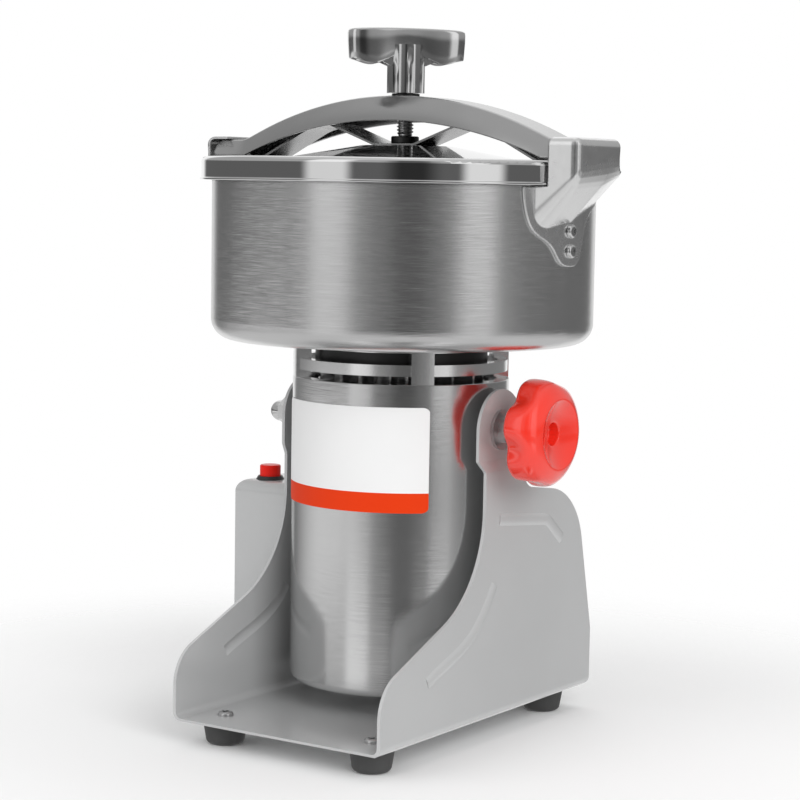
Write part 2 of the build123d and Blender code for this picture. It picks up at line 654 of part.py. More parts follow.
def lower_bracket():
    """Spider that holds the lower bearing and the brush gear."""
    plate = disc(TUBE_IN - SEAT, BRACKET_Z - BRACKET_T, BRACKET_Z)
    for turn in range(4):
        plate = plate - sector(26, TUBE_IN - 10, 24, BRACKET_Z - BRACKET_T - 1, BRACKET_Z + 1, 90 * turn + 0)
    bracket = plate + disc(LOWER_BEARING_R + 4, BRACKET_Z - 16, BRACKET_Z)
    bracket = bracket + Rot(0, 0, 0) * slab((16, -9, BRACKET_Z - BRACKET_T), (58, 9, BRACKET_Z))
    bracket = bracket + slab((-58, -9, BRACKET_Z - BRACKET_T), (-16, 9, BRACKET_Z))
    for pillar in four(Pos(TIE_R, 0, 0) * disc(5.5, BRACKET_Z - BRACKET_T, STACK_Z)):
        bracket = bracket + pillar
    for hole in four(Pos(TIE_R, 0, 0) * disc(TIE_BOLT_R + 0.1, BRACKET_Z - BRACKET_T - 1, STACK_Z + 1)):
        bracket = bracket - hole
    bracket = bracket - disc(LOWER_BEARING_R, BRACKET_Z - 17, BRACKET_Z - 5)
    return bracket - disc(SHAFT_END_R + 1.5, BRACKET_Z - 20, BRACKET_Z + 5)


def tie_bolt():
    head = Pos(0, 0, BRACKET_Z - BRACKET_T - 3.5) * hexagon(8, 3.5)
    return Pos(TIE_R, 0, 0) * (head + disc(TIE_BOLT_R, BRACKET_Z - BRACKET_T, TUBE_TOP - SPIGOT_DEPTH))


def brush_holder(side):
    """Square guide on a foot that stands on the bracket."""
    guide = slab((COMMUTATOR_R + 3, -7, BRUSH_Z - 7), (COMMUTATOR_R + 28, 7, BRUSH_Z + 7))
    foot = slab((COMMUTATOR_R + 8, -7, BRACKET_Z), (COMMUTATOR_R + 22, 7, BRUSH_Z - 6.9))
    hollow = slab((0, -4.05, BRUSH_Z - 5.05), (COMMUTATOR_R + 26, 4.05, BRUSH_Z + 5.05))
    holder = guide + foot - hollow
    return holder if side > 0 else Rot(0, 0, 180) * holder


def carbon_brush(side):
    brush = slab((COMMUTATOR_R - 3, -4, BRUSH_Z - 5), (COMMUTATOR_R + 18, 4, BRUSH_Z + 5))
    brush = brush - disc(COMMUTATOR_R + 0.1, BRUSH_Z - 10, BRUSH_Z + 10)
    return brush if side > 0 else Rot(0, 0, 180) * brush


BRUSH_Z = BRACKET_Z + 15.0
WINDING_END = 7.0


def motor_shaft():
    shaft = disc(SHAFT_R, BRACKET_Z - 4.5, BOWL_Z + 5)
    shaft = shaft + disc(SHAFT_END_R, BRACKET_Z - 17, BRACKET_Z - 4.5)
    return shaft + disc(SHAFT_END_R, BOWL_Z + 5, BLADE_Z + 36)


def armature_core():
    core = ring(STATOR_BORE - AIR_GAP, SHAFT_R, STACK_Z, STACK_TOP)
    slot = Pos(STATOR_BORE - AIR_GAP, 0, 0) * disc(2.2, STACK_Z - 1, STACK_TOP + 1)
    for turn in range(12):
        core = core - Rot(0, 0, 30 * turn) * slot
    return core


def armature_winding(low):
    winding = ring(STATOR_BORE - AIR_GAP - 3, SHAFT_R + 1, low, low + WINDING_END)
    return fillet(winding.edges().filter_by(GeomType.CIRCLE).sort_by(SortBy.RADIUS)[-2:], 2.5)


def commutator():
    drum = ring(COMMUTATOR_R, SHAFT_R, BRUSH_Z - 8, BRUSH_Z + 8)
    bar_gap = slab((COMMUTATOR_R - 1, -0.3, BRUSH_Z - 9), (COMMUTATOR_R + 1, 0.3, BRUSH_Z + 9))
    for turn in range(24):
        drum = drum - Rot(0, 0, 15 * turn) * bar_gap
    return drum + ring(COMMUTATOR_R + 2, SHAFT_R, BRUSH_Z + 8, BRUSH_Z + 10.5)


def cooling_fan():
    low = TUBE_TOP - 3.3
    fan = ring(FAN_R, SHAFT_R, low, low + 1.5) + ring(SHAFT_R + 5, SHAFT_R, low - 3, low + 5)
    arc = ThreePointArc((27, 0), (39, 5.5), (FAN_R - 0.5, 3.5))
    vane = Pos(0, 0, low + 1) * extrude(trace(arc, 1.2), FAN_HEIGHT)
    for turn in range(16):
        fan = fan + Rot(0, 0, 22.5 * turn) * vane
    return fan


def bearing(outer, bore, low, height):
    body = ring(outer, bore, low, low + height)
    groove = ring(outer - 2.6, bore + 2.6, low + height - 0.6, low + height + 1)
    return body - groove


# ---------------------------------------------------------------- bowl and blades
BLADE_Z = BOWL_Z + BOWL_T + 6.0
BLADE_T = 2.5
BLADE_HUB_R = 14.0
BLADE_REACH = BOWL_R - BOWL_T - 11.5


def bowl():
    outer = disc(BOWL_R, BOWL_Z, RIM_Z - 1)
    outer = fillet(outer.edges().group_by(Axis.Z)[0], BOWL_ROUND) + disc(BOWL_R + RIM_LEDGE, RIM_Z - BOWL_T, RIM_Z)
    inner = disc(BOWL_R - BOWL_T, BOWL_Z + BOWL_T, RIM_Z + 1)
    inner = fillet(inner.edges().group_by(Axis.Z)[0], BOWL_ROUND - BOWL_T)
    shell = outer - inner - disc(SEAL_R, BOWL_Z - 1, BOWL_Z + 5)
    for hole in four(Pos(BOWL_SCREW_R, 0, 0) * disc(2.6, BOWL_Z - 1, BOWL_Z + 3)):
        shell = shell - hole
    for turn in (0, 180):
        for drop in HOOK_SCREWS:
            shell = shell - Rot(0, 0, turn) * hook_line(2.1, BOWL_R - 10, BOWL_R + 10, drop)
    return shell


def hook_line(radius, start, end, drop):
    """Round bar along X on the hook bracket's screw line, drop below the bowl's rim."""
    return rod_x(radius, start, end, HOOK_SHIFT, RIM_Z - drop)


def bowl_screw():
    low = BOWL_Z + BOWL_T
    head = fillet(disc(4.4, low, low + 2).edges().group_by(Axis.Z)[-1], 1.2)
    return Pos(BOWL_SCREW_R, 0, 0) * (head + disc(2.5, BOWL_Z - SEAT_T, low))


def shaft_seal():
    body = ring(SEAL_R, SHAFT_R + PIVOT_RUN, BOWL_Z, BOWL_Z + BOWL_T)
    return body + ring(SEAL_R + 3, SHAFT_R + PIVOT_RUN, BOWL_Z + BOWL_T, BOWL_Z + BOWL_T + 3)


def blade(reach, level, turn, lift):
    """Two-armed chopping blade: tapered arms, one bevelled edge, tips bent up by lift degrees."""
    outline = make_face(Polyline((0, -11), (reach * 0.6, -12), (reach, -5), (reach - 4, 7), (0, 10), close=True))
    arm = extrude(outline, BLADE_T)
    edge = Pos(reach / 2 + 4, -13.2, BLADE_T) * Rot(40, 0, 0) * Box(reach + 10, 6, 4)
    bent = Pos(BLADE_HUB_R, 0, 0) * Rot(0, -lift, 0) * Pos(-BLADE_HUB_R, 0, 0) * (arm - edge)
    bent = bent & slab((BLADE_HUB_R - 1, -40, -40), (200, 40, 100))
    both = bent + Rot(0, 0, 180) * bent + disc(BLADE_HUB_R, 0, BLADE_T)
    return Pos(0, 0, level) * Rot(0, 0, turn) * (both - disc(SHAFT_END_R, -5, 10))


SPACER_T = 5.0
BLADE_STEP = BLADE_T + SPACER_T


def blade_nut():
    low = BLADE_Z + 3 * BLADE_STEP - SPACER_T
    nut = Pos(0, 0, low) * hexagon(19, 8)
    return nut + Pos(0, 0, low + 8) * ring(9, SHAFT_END_R, 0, 1) - disc(SHAFT_END_R, low - 1, low + 20)


# ---------------------------------------------------------------- lid
def lid():
    """Pressed lid: hemmed skirt, rolled rim, flat annulus, shallow cone and a central boss."""
    rim = RIM_Z + LID_RISE
    outer = [
        (0, DOME_Z),
        (DOME_R, DOME_Z),
        (CONE_R, LID_FLAT_Z),
        (LID_R - 8, LID_FLAT_Z),
        (LID_R - 5.5, rim),
        (LID_R, rim),
        (LID_R, RIM_Z - LID_SKIRT + 1.4),
        (LID_R + LID_HEM, RIM_Z - LID_SKIRT + 1.4),
        (LID_R + LID_HEM, RIM_Z - LID_SKIRT),
        (LID_R - LID_T, RIM_Z - LID_SKIRT),
        (LID_R - LID_T, rim - LID_T),
        (LID_R - 5.0, rim - LID_T),
        (LID_R - 7.5, LID_FLAT_Z - LID_T),
        (CONE_R, LID_FLAT_Z - LID_T),
        (DOME_R, DOME_Z - LID_T),
        (0, DOME_Z - LID_T),
    ]
    radii = [0, 6, 8, 1.2, 1.2, LID_ROUND, 0.3, 0.5, 0.5, 0, LID_ROUND - LID_T, 1, 1, 8, 6, 0]
    profile = make_face(FilletPolyline(*outer, radius=radii, close=True))
    return revolve(Plane.XZ * profile, Axis.Z) - disc(SOCKET_R, DOME_Z - 5, DOME_Z + 1)


SOCKET_R = 6.0


def lid_gasket():
    return ring(BOWL_R + RIM_LEDGE - 0.2, BOWL_R - 3.5, RIM_Z, LID_FLAT_Z - LID_T)


def strap_half():
    low = DOME_Z + STRAP_T / 2
    end_slope = 0.52
    knee_x = STRAP_PEAK_X + 16.5
    knee_z = low + STRAP_PEAK_RISE - 2.3
    end_z = LID_FLAT_Z + STRAP_T / 2 + SEAT
    end_x = knee_x + (knee_z - end_z) / end_slope
    return [(STRAP_FOOT, low), (STRAP_PEAK_X, low + STRAP_PEAK_RISE), (knee_x, knee_z), (end_x, end_z)]


def lid_strap():
    """M-shaped strap: its foot lies on the lid's boss, its arms bear on the lid near the rim."""
    right = strap_half()
    left = [(-x, z) for x, z in reversed(right)]
    line = FilletPolyline(*(left + right), radius=[34, 4, 5, 5, 4, 34])
    strap = extrude(Plane.XZ * trace(line, STRAP_T), STRAP_WIDTH / 2, both=True)
    return strap - disc(SOCKET_R, DOME_Z - 5, STRAP_Z + 5)


def screw_socket():
    """Collar that holds the screw's tip, riveted through strap and lid."""
    collar = disc(COLLAR_R, STRAP_Z, STRAP_Z + COLLAR_HEIGHT)
    collar = fillet(collar.edges().filter_by(GeomType.CIRCLE), 0.9)
    stem = disc(SOCKET_R, DOME_Z - LID_T, STRAP_Z) + disc(SOCKET_R + 3, DOME_Z - LID_T - 2, DOME_Z - LID_T)
    return collar + stem - disc(TIP_R + PIVOT_RUN, STRAP_Z - 1.5, STRAP_Z + 20)


TIP_R = 4.0


# ---------------------------------------------------------------- clamp beam
def beam_path():
    """Top line of the web from end to end: flat end, fillet, straight, main arch and back."""
    turn = radians(BEAM_TURN)
    centre = BEAM_Z - BEAM_R
    leave_x = BEAM_R * sin(turn)
    leave_z = centre + BEAM_R * cos(turn)
    corner_x = leave_x + (leave_z - BEAM_END_TOP) / tan(turn)
    radius = 14.0
    run = radius * tan(turn / 2)
    dx = run * cos(turn)
    dz = run * sin(turn)
    left = [
        Line((-BEAM_REACH, BEAM_END_TOP), (-corner_x - run, BEAM_END_TOP)),
        TangentArc(
            (-corner_x - run, BEAM_END_TOP), (-corner_x + dx, BEAM_END_TOP + dz), tangent=(1, 0)
        ),
        Line((-corner_x + dx, BEAM_END_TOP + dz), (-leave_x, leave_z)),
    ]
    arch = ThreePointArc((-leave_x, leave_z), (0, BEAM_Z), (leave_x, leave_z))
    right = [mirror(edge, about=Plane.YZ) for edge in reversed(left)]
    return left, arch, right


def beam_section(inset):
    """Trapezoid of the channel, open below when inset is not zero."""
    lean = (BEAM_SKIRT - BEAM_WEB) / 2 / BEAM_DEPTH
    side = inset * sqrt(1 + lean ** 2)
    drop = BEAM_DEPTH + 4
    top_half = BEAM_WEB / 2 - side + lean * inset
    low_half = BEAM_WEB / 2 + lean * drop - side
    points = [(-low_half, -drop), (-top_half, -inset), (top_half, -inset), (low_half, -drop)]
    radius = 3.0 - inset if inset else 3.0
    return make_face(FilletPolyline(*points, radius=[0, radius, radius, 0], close=True))


def beam_lower():
    """Side view of all that stays above the beam's lower edge, in (x, z)."""
    low = BEAM_Z - BEAM_DEPTH
    turn_z = BEAM_END_BOTTOM
    knee = sqrt(BEAM_EDGE_R ** 2 - (BEAM_EDGE_R - (low - turn_z)) ** 2)
    arc = ThreePointArc((-knee, turn_z), (0, low), (knee, turn_z))
    top = BEAM_END_TOP + 0.05
    shelf = BEAM_REACH - 12
    right = [(knee, turn_z), (BEAM_REACH, turn_z), (BEAM_REACH, top), (shelf, top), (shelf, BEAM_Z + 20)]
    left = [(-x, z) for x, z in reversed(right)]
    corners = [BEAM_TIP_R, BEAM_TIP_R, 0, 0]
    rest = FilletPolyline(*(right + left), radius=corners + corners[::-1])
    return make_face(arc + rest)


def clamp_beam():
    left, arch, right = beam_path()
    start = Plane(origin=(-BEAM_REACH, 0, BEAM_END_TOP), x_dir=(0, 1, 0), z_dir=(1, 0, 0))
    line = Wire([edge for run in left + [arch] + right for edge in (Plane.XZ * run).edges()])
    channel = sweep(start * beam_section(0), path=line) - sweep(start * beam_section(BEAM_T), path=line)
    beam = channel & extrude(Plane.XZ * beam_lower(), BEAM_SKIRT, both=True)
    rounded = extrude(RectangleRounded(2 * BEAM_REACH, BEAM_SKIRT + 4, 9), BEAM_Z + 50)
    beam = beam & rounded
    return beam - disc(NUT_BODY_R, BEAM_Z - 30, BEAM_Z + 5)


NUT_BODY_R = 7.0
NUT_FLANGE_T = 1.4


def beam_nut():
    """Flanged threaded bush in the middle of the web."""
    nut = disc(NUT_BODY_R, BEAM_Z - BEAM_T - 8, BEAM_Z) + disc(COLLAR_R, BEAM_Z, BEAM_Z + NUT_FLANGE_T)
    nut = nut + disc(COLLAR_R + 1, BEAM_Z - BEAM_T - 3, BEAM_Z - BEAM_T - SEAT)
    return nut - disc(SCREW_R + PIVOT_RUN, BEAM_Z - 20, BEAM_Z + 5)


# ---------------------------------------------------------------- clamp screw and handle
STEM_Z = BEAM_Z + NUT_FLANGE_T + SEAT


def clamp_screw():
    shank = disc(SCREW_R, STRAP_Z + COLLAR_HEIGHT + SEAT, STEM_Z + 14)
    return shank + disc(TIP_R, STRAP_Z - 1.0, STRAP_Z + COLLAR_HEIGHT + SEAT)


def handle_plan(length, width, z):
    """Dog-bone outline of the handle's bar at height z."""
    half = length / 2
    wide = width / 2
    waist = wide - 3.0
    upper = Spline((-half + 7, wide), (-half / 2, wide - 1.2), (0, waist), (half / 2, wide - 1.2), (half - 7, wide))
    lower = mirror(upper, about=Plane.XZ)
    right = ThreePointArc(upper @ 1, (half, 0), lower @ 1)
    left = ThreePointArc(lower @ 0, (-half, 0), upper @ 0)
    return Pos(0, 0, z) * make_face(upper + right + lower + left)


def handle_underside():
    """Side view of all above the bar's wavy underside, in (length, z)."""
    top = HANDLE_TOP
    half = HANDLE_LENGTH / 2 + 5
    wave = Spline(
        (-half, top - 16.5),
        (-0.92 * HANDLE_LENGTH / 2, top - 17.7),
        (-LOBE_X, top - HANDLE_HEIGHT),
        (0, top - HANDLE_WAIST),
        (LOBE_X, top - HANDLE_HEIGHT),
        (0.92 * HANDLE_LENGTH / 2, top - 17.7),
        (half, top - 16.5),
    )
    rest = Polyline(wave @ 1, (half, top + 5), (-half, top + 5), wave @ 0)
    return make_face(wave + rest)


def handle_gusset():
    """Thin web between the stem and a lobe."""
    foot = HANDLE_TOP - HANDLE_HEIGHT
    corners = [(STEM_R - 3, foot), (STEM_R - 1, foot), (LOBE_X - 3, foot + 2.5), (STEM_R - 3, foot + 8)]
    web = extrude(Plane.XZ * make_face(Polyline(*corners, close=True)), 0.8, both=True)
    return Pos(0, 5.5, 0) * web


def t_handle():
    foot = HANDLE_TOP - HANDLE_HEIGHT - 2
    shallow = handle_plan(HANDLE_LENGTH, HANDLE_WIDTH, HANDLE_TOP)
    deep = handle_plan(HANDLE_LENGTH - 8, HANDLE_WIDTH - 4, foot)
    bar = loft([deep, shallow], ruled=True) & extrude(Plane.XZ * handle_underside(), HANDLE_WIDTH, both=True)
    bar = fillet(bar.faces().sort_by(Axis.Z)[-1].edges(), 2.0)
    stem = disc(STEM_R, STEM_Z, HANDLE_TOP - HANDLE_WAIST + 3)
    groove = Pos(STEM_R + 2.0, 0, 0) * disc(3.1, STEM_Z - 1, HANDLE_TOP - HANDLE_HEIGHT - 1)
    for turn in range(8):
        stem = stem - Rot(0, 0, 45 * turn + 22.5) * groove
    webs = [Rot(0, 0, side) * web for side in (0, 180) for web in (handle_gusset(), mirror(handle_gusset(), about=Plane.XZ))]
    handle = bar + stem
    for web in webs:
        handle = handle + web
    return Rot(0, 0, HANDLE_TURN) * handle - disc(SCREW_R, STEM_Z - 1, STEM_Z + 14)


HANDLE_TOP = STEM_Z + STEM_HEIGHT + HANDLE_HEIGHT
LOBE_X = 21.5


# ---------------------------------------------------------------- hook brackets
HOOD_ROOT = 9.0
HOOD_CORNER = 4.5          # the corner between cheek and flare opens up from this
ROOT_CORNER = 16.0         # to this
# Corners of the hood's lower edge, as (y, height over the bowl's rim): on its outer wall, and inside
# the bowl's surface, where the flare runs out.
WALL_EDGE = ((-28.5, -6.2), (7.0, -3.4), (23.0, -1.2))
ROOT_EDGE = ((-36.0, -43.0), (-7.2, -45.6), (40.8, -21.6))


def hood_section(x, inset, mouth):
    """Outline of the hood across X: mouth, roof, cheek and bent lower edge, all drawn in by inset."""
    root_x = BOWL_R - HOOD_ROOT
    share = (x - root_x) / (HOOK_REACH - root_x)
    top = ROOF_IN_Z + HOOK_T - inset
    lower = []
    for (wall_y, wall_rise), (root_y, root_rise) in zip(WALL_EDGE, ROOT_EDGE):
        slope = (wall_rise - root_rise) / (HOOK_REACH - root_x)
        rise = root_rise + share * (wall_rise - root_rise) + inset * sqrt(1 + slope ** 2)
        lower.append((root_y + share * (wall_y - root_y), RIM_Z + rise))
    lower[0] = (lower[0][0] + inset, lower[0][1])
    climb = (lower[2][1] - lower[1][1]) / (lower[2][0] - lower[1][0])
    lower[2] = (lower[2][0] + mouth, lower[2][1] + mouth * climb)
    points = [(lower[2][0], top), (lower[0][0], top)] + lower
    corner = max(HOOD_CORNER - inset, 0.4)
    opening = max(ROOT_CORNER + share * (HOOD_CORNER - ROOT_CORNER) - inset, 0.4)
    plane = Plane(origin=(x, 0, 0), x_dir=(0, 1, 0), z_dir=(1, 0, 0))
    return plane * make_face(FilletPolyline(*points, radius=[0, corner, opening, 12, 0], close=True))


def hood_block(inset, mouth):
    """The drawn pocket of a bracket at +X with its rounded outer edge; inset gives its inside."""
    sections = [hood_section(BOWL_R - HOOD_ROOT, inset, mouth)]
    for step in range(5):
        turn = radians(22.5 * step)
        round_r = HOOD_CORNER - inset
        x = HOOK_REACH - HOOD_CORNER + round_r * sin(turn)
        sections.append(hood_section(x, HOOD_CORNER - round_r * cos(turn), mouth))
    return loft(sections, ruled=True)


def hook_mouth():
    """All that lies beyond the curved free edge of the hood's outer wall."""
    edge = ((17.0, 17.5), (18.8, 11.0), (18.4, 4.5), (23.0, -1.2))
    points = [(y, RIM_Z + rise) for y, rise in edge]
    curve = Spline(*points)
    rest = Polyline(curve @ 1, (70, points[-1][1]), (70, RIM_Z + 40), (points[0][0], RIM_Z + 40), curve @ 0)
    plane = Plane(origin=(BOWL_R - 10, 0, 0), x_dir=(0, 1, 0), z_dir=(1, 0, 0))
    return extrude(plane * make_face(curve + rest), HOOK_REACH - BOWL_R + 20)


def tongue():
    """Outline of the flat part that hugs the bowl, in (y, z)."""
    tip = RIM_Z - HOOK_TONGUE
    top = RIM_Z - LID_SKIRT - 0.9
    left = [(-42, top), (-40.8, tip + 35), (-34.5, tip + 20.5), (-20, tip + 11.5), (-11, tip + 2)]
    right = [(7, tip + 2), (12.5, tip + 12), (17.5, tip + 24), (27, tip + 31.5), (38.5, tip + 36), (40, top)]
    outline = Spline(*left, (HOOK_SHIFT, tip), *right)
    return make_face(outline + Line(outline @ 1, outline @ 0))


def hook_bracket():
    near = ring(BOWL_R + HOOK_T + 0.05, BOWL_R + 0.05, RIM_Z - 80, RIM_Z)
    to_side = Plane(origin=(0, 0, 0), x_dir=(0, 1, 0), z_dir=(1, 0, 0))
    flange = near & extrude(to_side * tongue(), 200)
    bracket = flange + hood_block(0, 0) - hood_block(HOOK_T, 30) - hook_mouth()
    bracket = bracket - disc(BOWL_R + 0.05, RIM_Z - 90, RIM_Z + 40)
    bracket = bracket - disc(LID_R + LID_HEM + 0.5, RIM_Z - LID_SKIRT - 0.8, RIM_Z + 40)
    for drop in HOOK_SCREWS:
        bracket = bracket - hook_line(2.1, BOWL_R - 5, BOWL_R + 20, drop)
    return bracket


def bracket_screw(drop):
    start = BOWL_R + HOOK_T + 0.1
    head = hook_line(4.0, start, start + 2.4, drop)
    head = fillet(head.edges().group_by(Axis.X)[-1], 1.5)
    place = Pos(start + 2.4, HOOK_SHIFT, RIM_Z - drop) * Rot(45, 0, 0)
    recess = place * (Box(2.4, 1.0, 4.6) + Box(2.4, 4.6, 1.0))
    return head - recess + hook_line(2.0, BOWL_R - 6.5, start, drop)


def bracket_nut(drop):
    start = sqrt((BOWL_R - BOWL_T) ** 2 - (4.1 - HOOK_SHIFT) ** 2) - SEAT
    nut = Pos(start, HOOK_SHIFT, RIM_Z - drop) * Rot(0, -90, 0) * hexagon(7, 3.2)
    return nut - hook_line(2.0, start - 5, start + 5, drop)


# ---------------------------------------------------------------- assembly
def build():
    save("stand_frame", stand_frame())
    feet = foot_places()
    save("rubber_feet", group([Pos(x, y, 0) * rubber_foot() for x, y in feet]))
    save("foot_screws", group([Pos(x, y, 0) * foot_screw() for x, y in feet]))
    save("foot_nuts", group([Pos(x, y, 0) * foot_nut() for x, y in feet]))
    save("control_box", control_box())
    save("control_box_screws", group([box_screw(y, z) for y, z in box_screw_places()]))
    save("power_inlet", power_inlet())
    save("inlet_pins", group(inlet_pin_blocks()))
    save("switch_body", switch_body())
    save("power_button", power_button())
    save("lead_grommet", lead_grommet())

    save("motor_tube", motor_tube())
    save("tube_bottom_plate", bottom_plate())
    save("bottom_plate_screws", group(four(bottom_screw())))
    save("lead_gland", lead_gland())
    save("label_plate", label_plate())
    save("pivot_bosses", group([pivot_boss(1), pivot_boss(-1)]))
    save("pivot_stud", pivot_stud())
    save("pivot_washer", washer_x(WASHER_R, -EAR_OUT - WASHER_T, -EAR_OUT))
    save("pivot_nut", pivot_nut())
    save("pivot_dome_nut", dome_nut())
    save("knob_washer", washer_x(WASHER_R, EAR_OUT, EAR_OUT + WASHER_T))
    save("knob_spacer", washer_x(SPACER_R, SPACER_START, SPACER_END))
    save("knob_collar", washer_x(KNOB_COLLAR_R, SPACER_END, SPACER_END + COLLAR_LENGTH))
    save("star_knob", star_knob())
    save("knob_stud", knob_stud())

    save("neck_casting", neck_casting())
    save("stator_core", stator_core())
    save("field_coils", group([field_coil(0), field_coil(180)]))
    save("lower_bracket", lower_bracket())
    save("tie_bolts", group(four(tie_bolt())))
    save("brush_holders", group([brush_holder(1), brush_holder(-1)]))
    save("carbon_brushes", group([carbon_brush(1), carbon_brush(-1)]))
    save("lower_bearing", bearing(LOWER_BEARING_R, SHAFT_END_R + PIVOT_RUN, BRACKET_Z - 15, 10))
    save("upper_bearing", bearing(UPPER_BEARING_R, SHAFT_R + PIVOT_RUN, HUB_Z, 11))
    save("motor_shaft", motor_shaft())
    save("armature_core", armature_core())
    winding_ends = [armature_winding(STACK_Z - WINDING_END), armature_winding(STACK_TOP)]
    save("armature_windings", group(winding_ends))
    save("commutator", commutator())
    save("cooling_fan", cooling_fan())

    save("bowl", bowl())
    save("bowl_screws", group(four(bowl_screw())))
    save("shaft_seal", shaft_seal())
    for index, (name, shorter, turn, lift) in enumerate(
        (("lower_blade", 0, 0, 2), ("middle_blade", 6, 60, 9), ("upper_blade", 14, 120, 18))
    ):
        save(name, blade(BLADE_REACH - shorter, BLADE_Z + index * BLADE_STEP, turn, lift))
    first = ring(BLADE_HUB_R - 1, SHAFT_END_R, BOWL_Z + 5, BLADE_Z)
    others = [
        Pos(0, 0, BLADE_Z + index * BLADE_STEP - SPACER_T) * ring(BLADE_HUB_R - 2, SHAFT_END_R, 0, SPACER_T)
        for index in (1, 2)
    ]
    save("blade_spacers", group([first] + others))
    save("blade_nut", blade_nut())

    bracket = hook_bracket()
    save("hook_bracket_right", bracket)
    save("hook_bracket_left", Rot(0, 0, 180) * bracket)
    for name, piece in (("bracket_screws", bracket_screw), ("bracket_nuts", bracket_nut)):
        save(name, group([Rot(0, 0, turn) * piece(drop) for turn in (0, 180) for drop in HOOK_SCREWS]))

    save("lid", lid())
    save("lid_gasket", lid_gasket())
    save("lid_strap", lid_strap())
    save("screw_socket", screw_socket())
    save("clamp_beam", clamp_beam())
    save("beam_nut", beam_nut())
    save("clamp_screw", clamp_screw())
    save("t_handle", t_handle())


build()
os.makedirs("parts", exist_ok=True)
for name, shape in parts.items():
    export_step(Pos(0, AXIS_Y, 0) * shape, "parts/" + name + ".step")
print("nodes", len(parts), "pivot height", round(PIVOT_Z, 2), "axis y", round(AXIS_Y, 2))
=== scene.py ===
# %% [markdown]
# # A swing-head grain mill in mirror steel, brushed steel and silver paint
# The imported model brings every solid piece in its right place. Here each piece gets its finish, and four
# pieces that a solid modeller gives too coldly (the motor tube, the star knob, the T-handle and the threaded
# screw) are made again as finer meshes that stand exactly where the solids stand.

# %% Load the frame
import json
import math

import bpy
from mathutils import Matrix, Vector


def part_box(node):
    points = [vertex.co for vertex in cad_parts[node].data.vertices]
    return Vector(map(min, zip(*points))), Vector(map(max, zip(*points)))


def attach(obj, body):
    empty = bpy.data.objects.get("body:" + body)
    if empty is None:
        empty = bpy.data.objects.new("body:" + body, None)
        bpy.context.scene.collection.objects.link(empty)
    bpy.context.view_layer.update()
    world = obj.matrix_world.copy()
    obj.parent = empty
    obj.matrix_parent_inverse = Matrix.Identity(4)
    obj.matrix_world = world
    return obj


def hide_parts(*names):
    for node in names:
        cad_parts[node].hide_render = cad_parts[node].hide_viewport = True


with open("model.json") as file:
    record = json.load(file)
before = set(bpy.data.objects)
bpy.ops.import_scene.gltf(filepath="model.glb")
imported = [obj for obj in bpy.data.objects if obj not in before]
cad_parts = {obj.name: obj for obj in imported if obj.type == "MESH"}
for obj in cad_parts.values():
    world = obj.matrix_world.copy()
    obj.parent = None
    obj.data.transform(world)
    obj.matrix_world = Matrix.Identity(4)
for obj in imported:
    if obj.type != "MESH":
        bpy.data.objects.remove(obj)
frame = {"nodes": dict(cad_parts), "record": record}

scene = bpy.context.scene
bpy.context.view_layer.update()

# %% [markdown]
# ## Places taken from the frame
# A measure that the frame already holds is read from it, not typed again: the axis of the motor from the
# tube's box, the height of the pivot from its washer. A later change of size then moves everything along.


# %% Read the frame's main places
def middle(node):
    """Centre of a node's box."""
    low, high = (Vector(corner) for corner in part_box(node))
    return (low + high) / 2


AXIS = middle("motor_tube")
PIVOT = middle("knob_washer")
FLOOR_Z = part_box("rubber_feet")[0][2]
print("motor axis y", round(AXIS.y, 5), "pivot z", round(PIVOT.z, 5))

# %% [markdown]
# ## A small language for materials
# A Blender material is a graph of nodes. Wiring it by hand hides the arithmetic, so one small class wraps
# the output of a node and overloads + - and *, and a line such as `1 - 0.4 * mask` then adds its own Math
# nodes. Any other node comes from `Recipe.node`, with its settings first and its sockets after.


# %% Shader arithmetic
BEVEL_SAMPLES = 6


class Signal:
    """One output of a node. Arithmetic on it adds Math nodes to the same recipe."""

    def __init__(self, recipe, socket):
        self.recipe = recipe
        self.socket = socket

    def math(self, operation, *values):
        return self.recipe.node("ShaderNodeMath", {"operation": operation}, dict(enumerate(values)))

    def __add__(self, other):
        return self.math("ADD", self, other)

    def __sub__(self, other):
        return self.math("SUBTRACT", self, other)

    def __rsub__(self, other):
        return self.math("SUBTRACT", other, self)

    def __mul__(self, other):
        return self.math("MULTIPLY", self, other)

    __radd__ = __add__
    __rmul__ = __mul__

    def size(self):
        """The value without its sign."""
        return self.math("ABSOLUTE", self)

    def fade(self, start, end, low=0.0, high=1.0):
        """Goes smoothly from low to high while the value goes from start to end."""
        settings = {"interpolation_type": "SMOOTHSTEP"}
        sockets = {"Value": self, "From Min": start, "From Max": end, "To Min": low, "To Max": high}
        return self.recipe.node("ShaderNodeMapRange", settings, sockets)


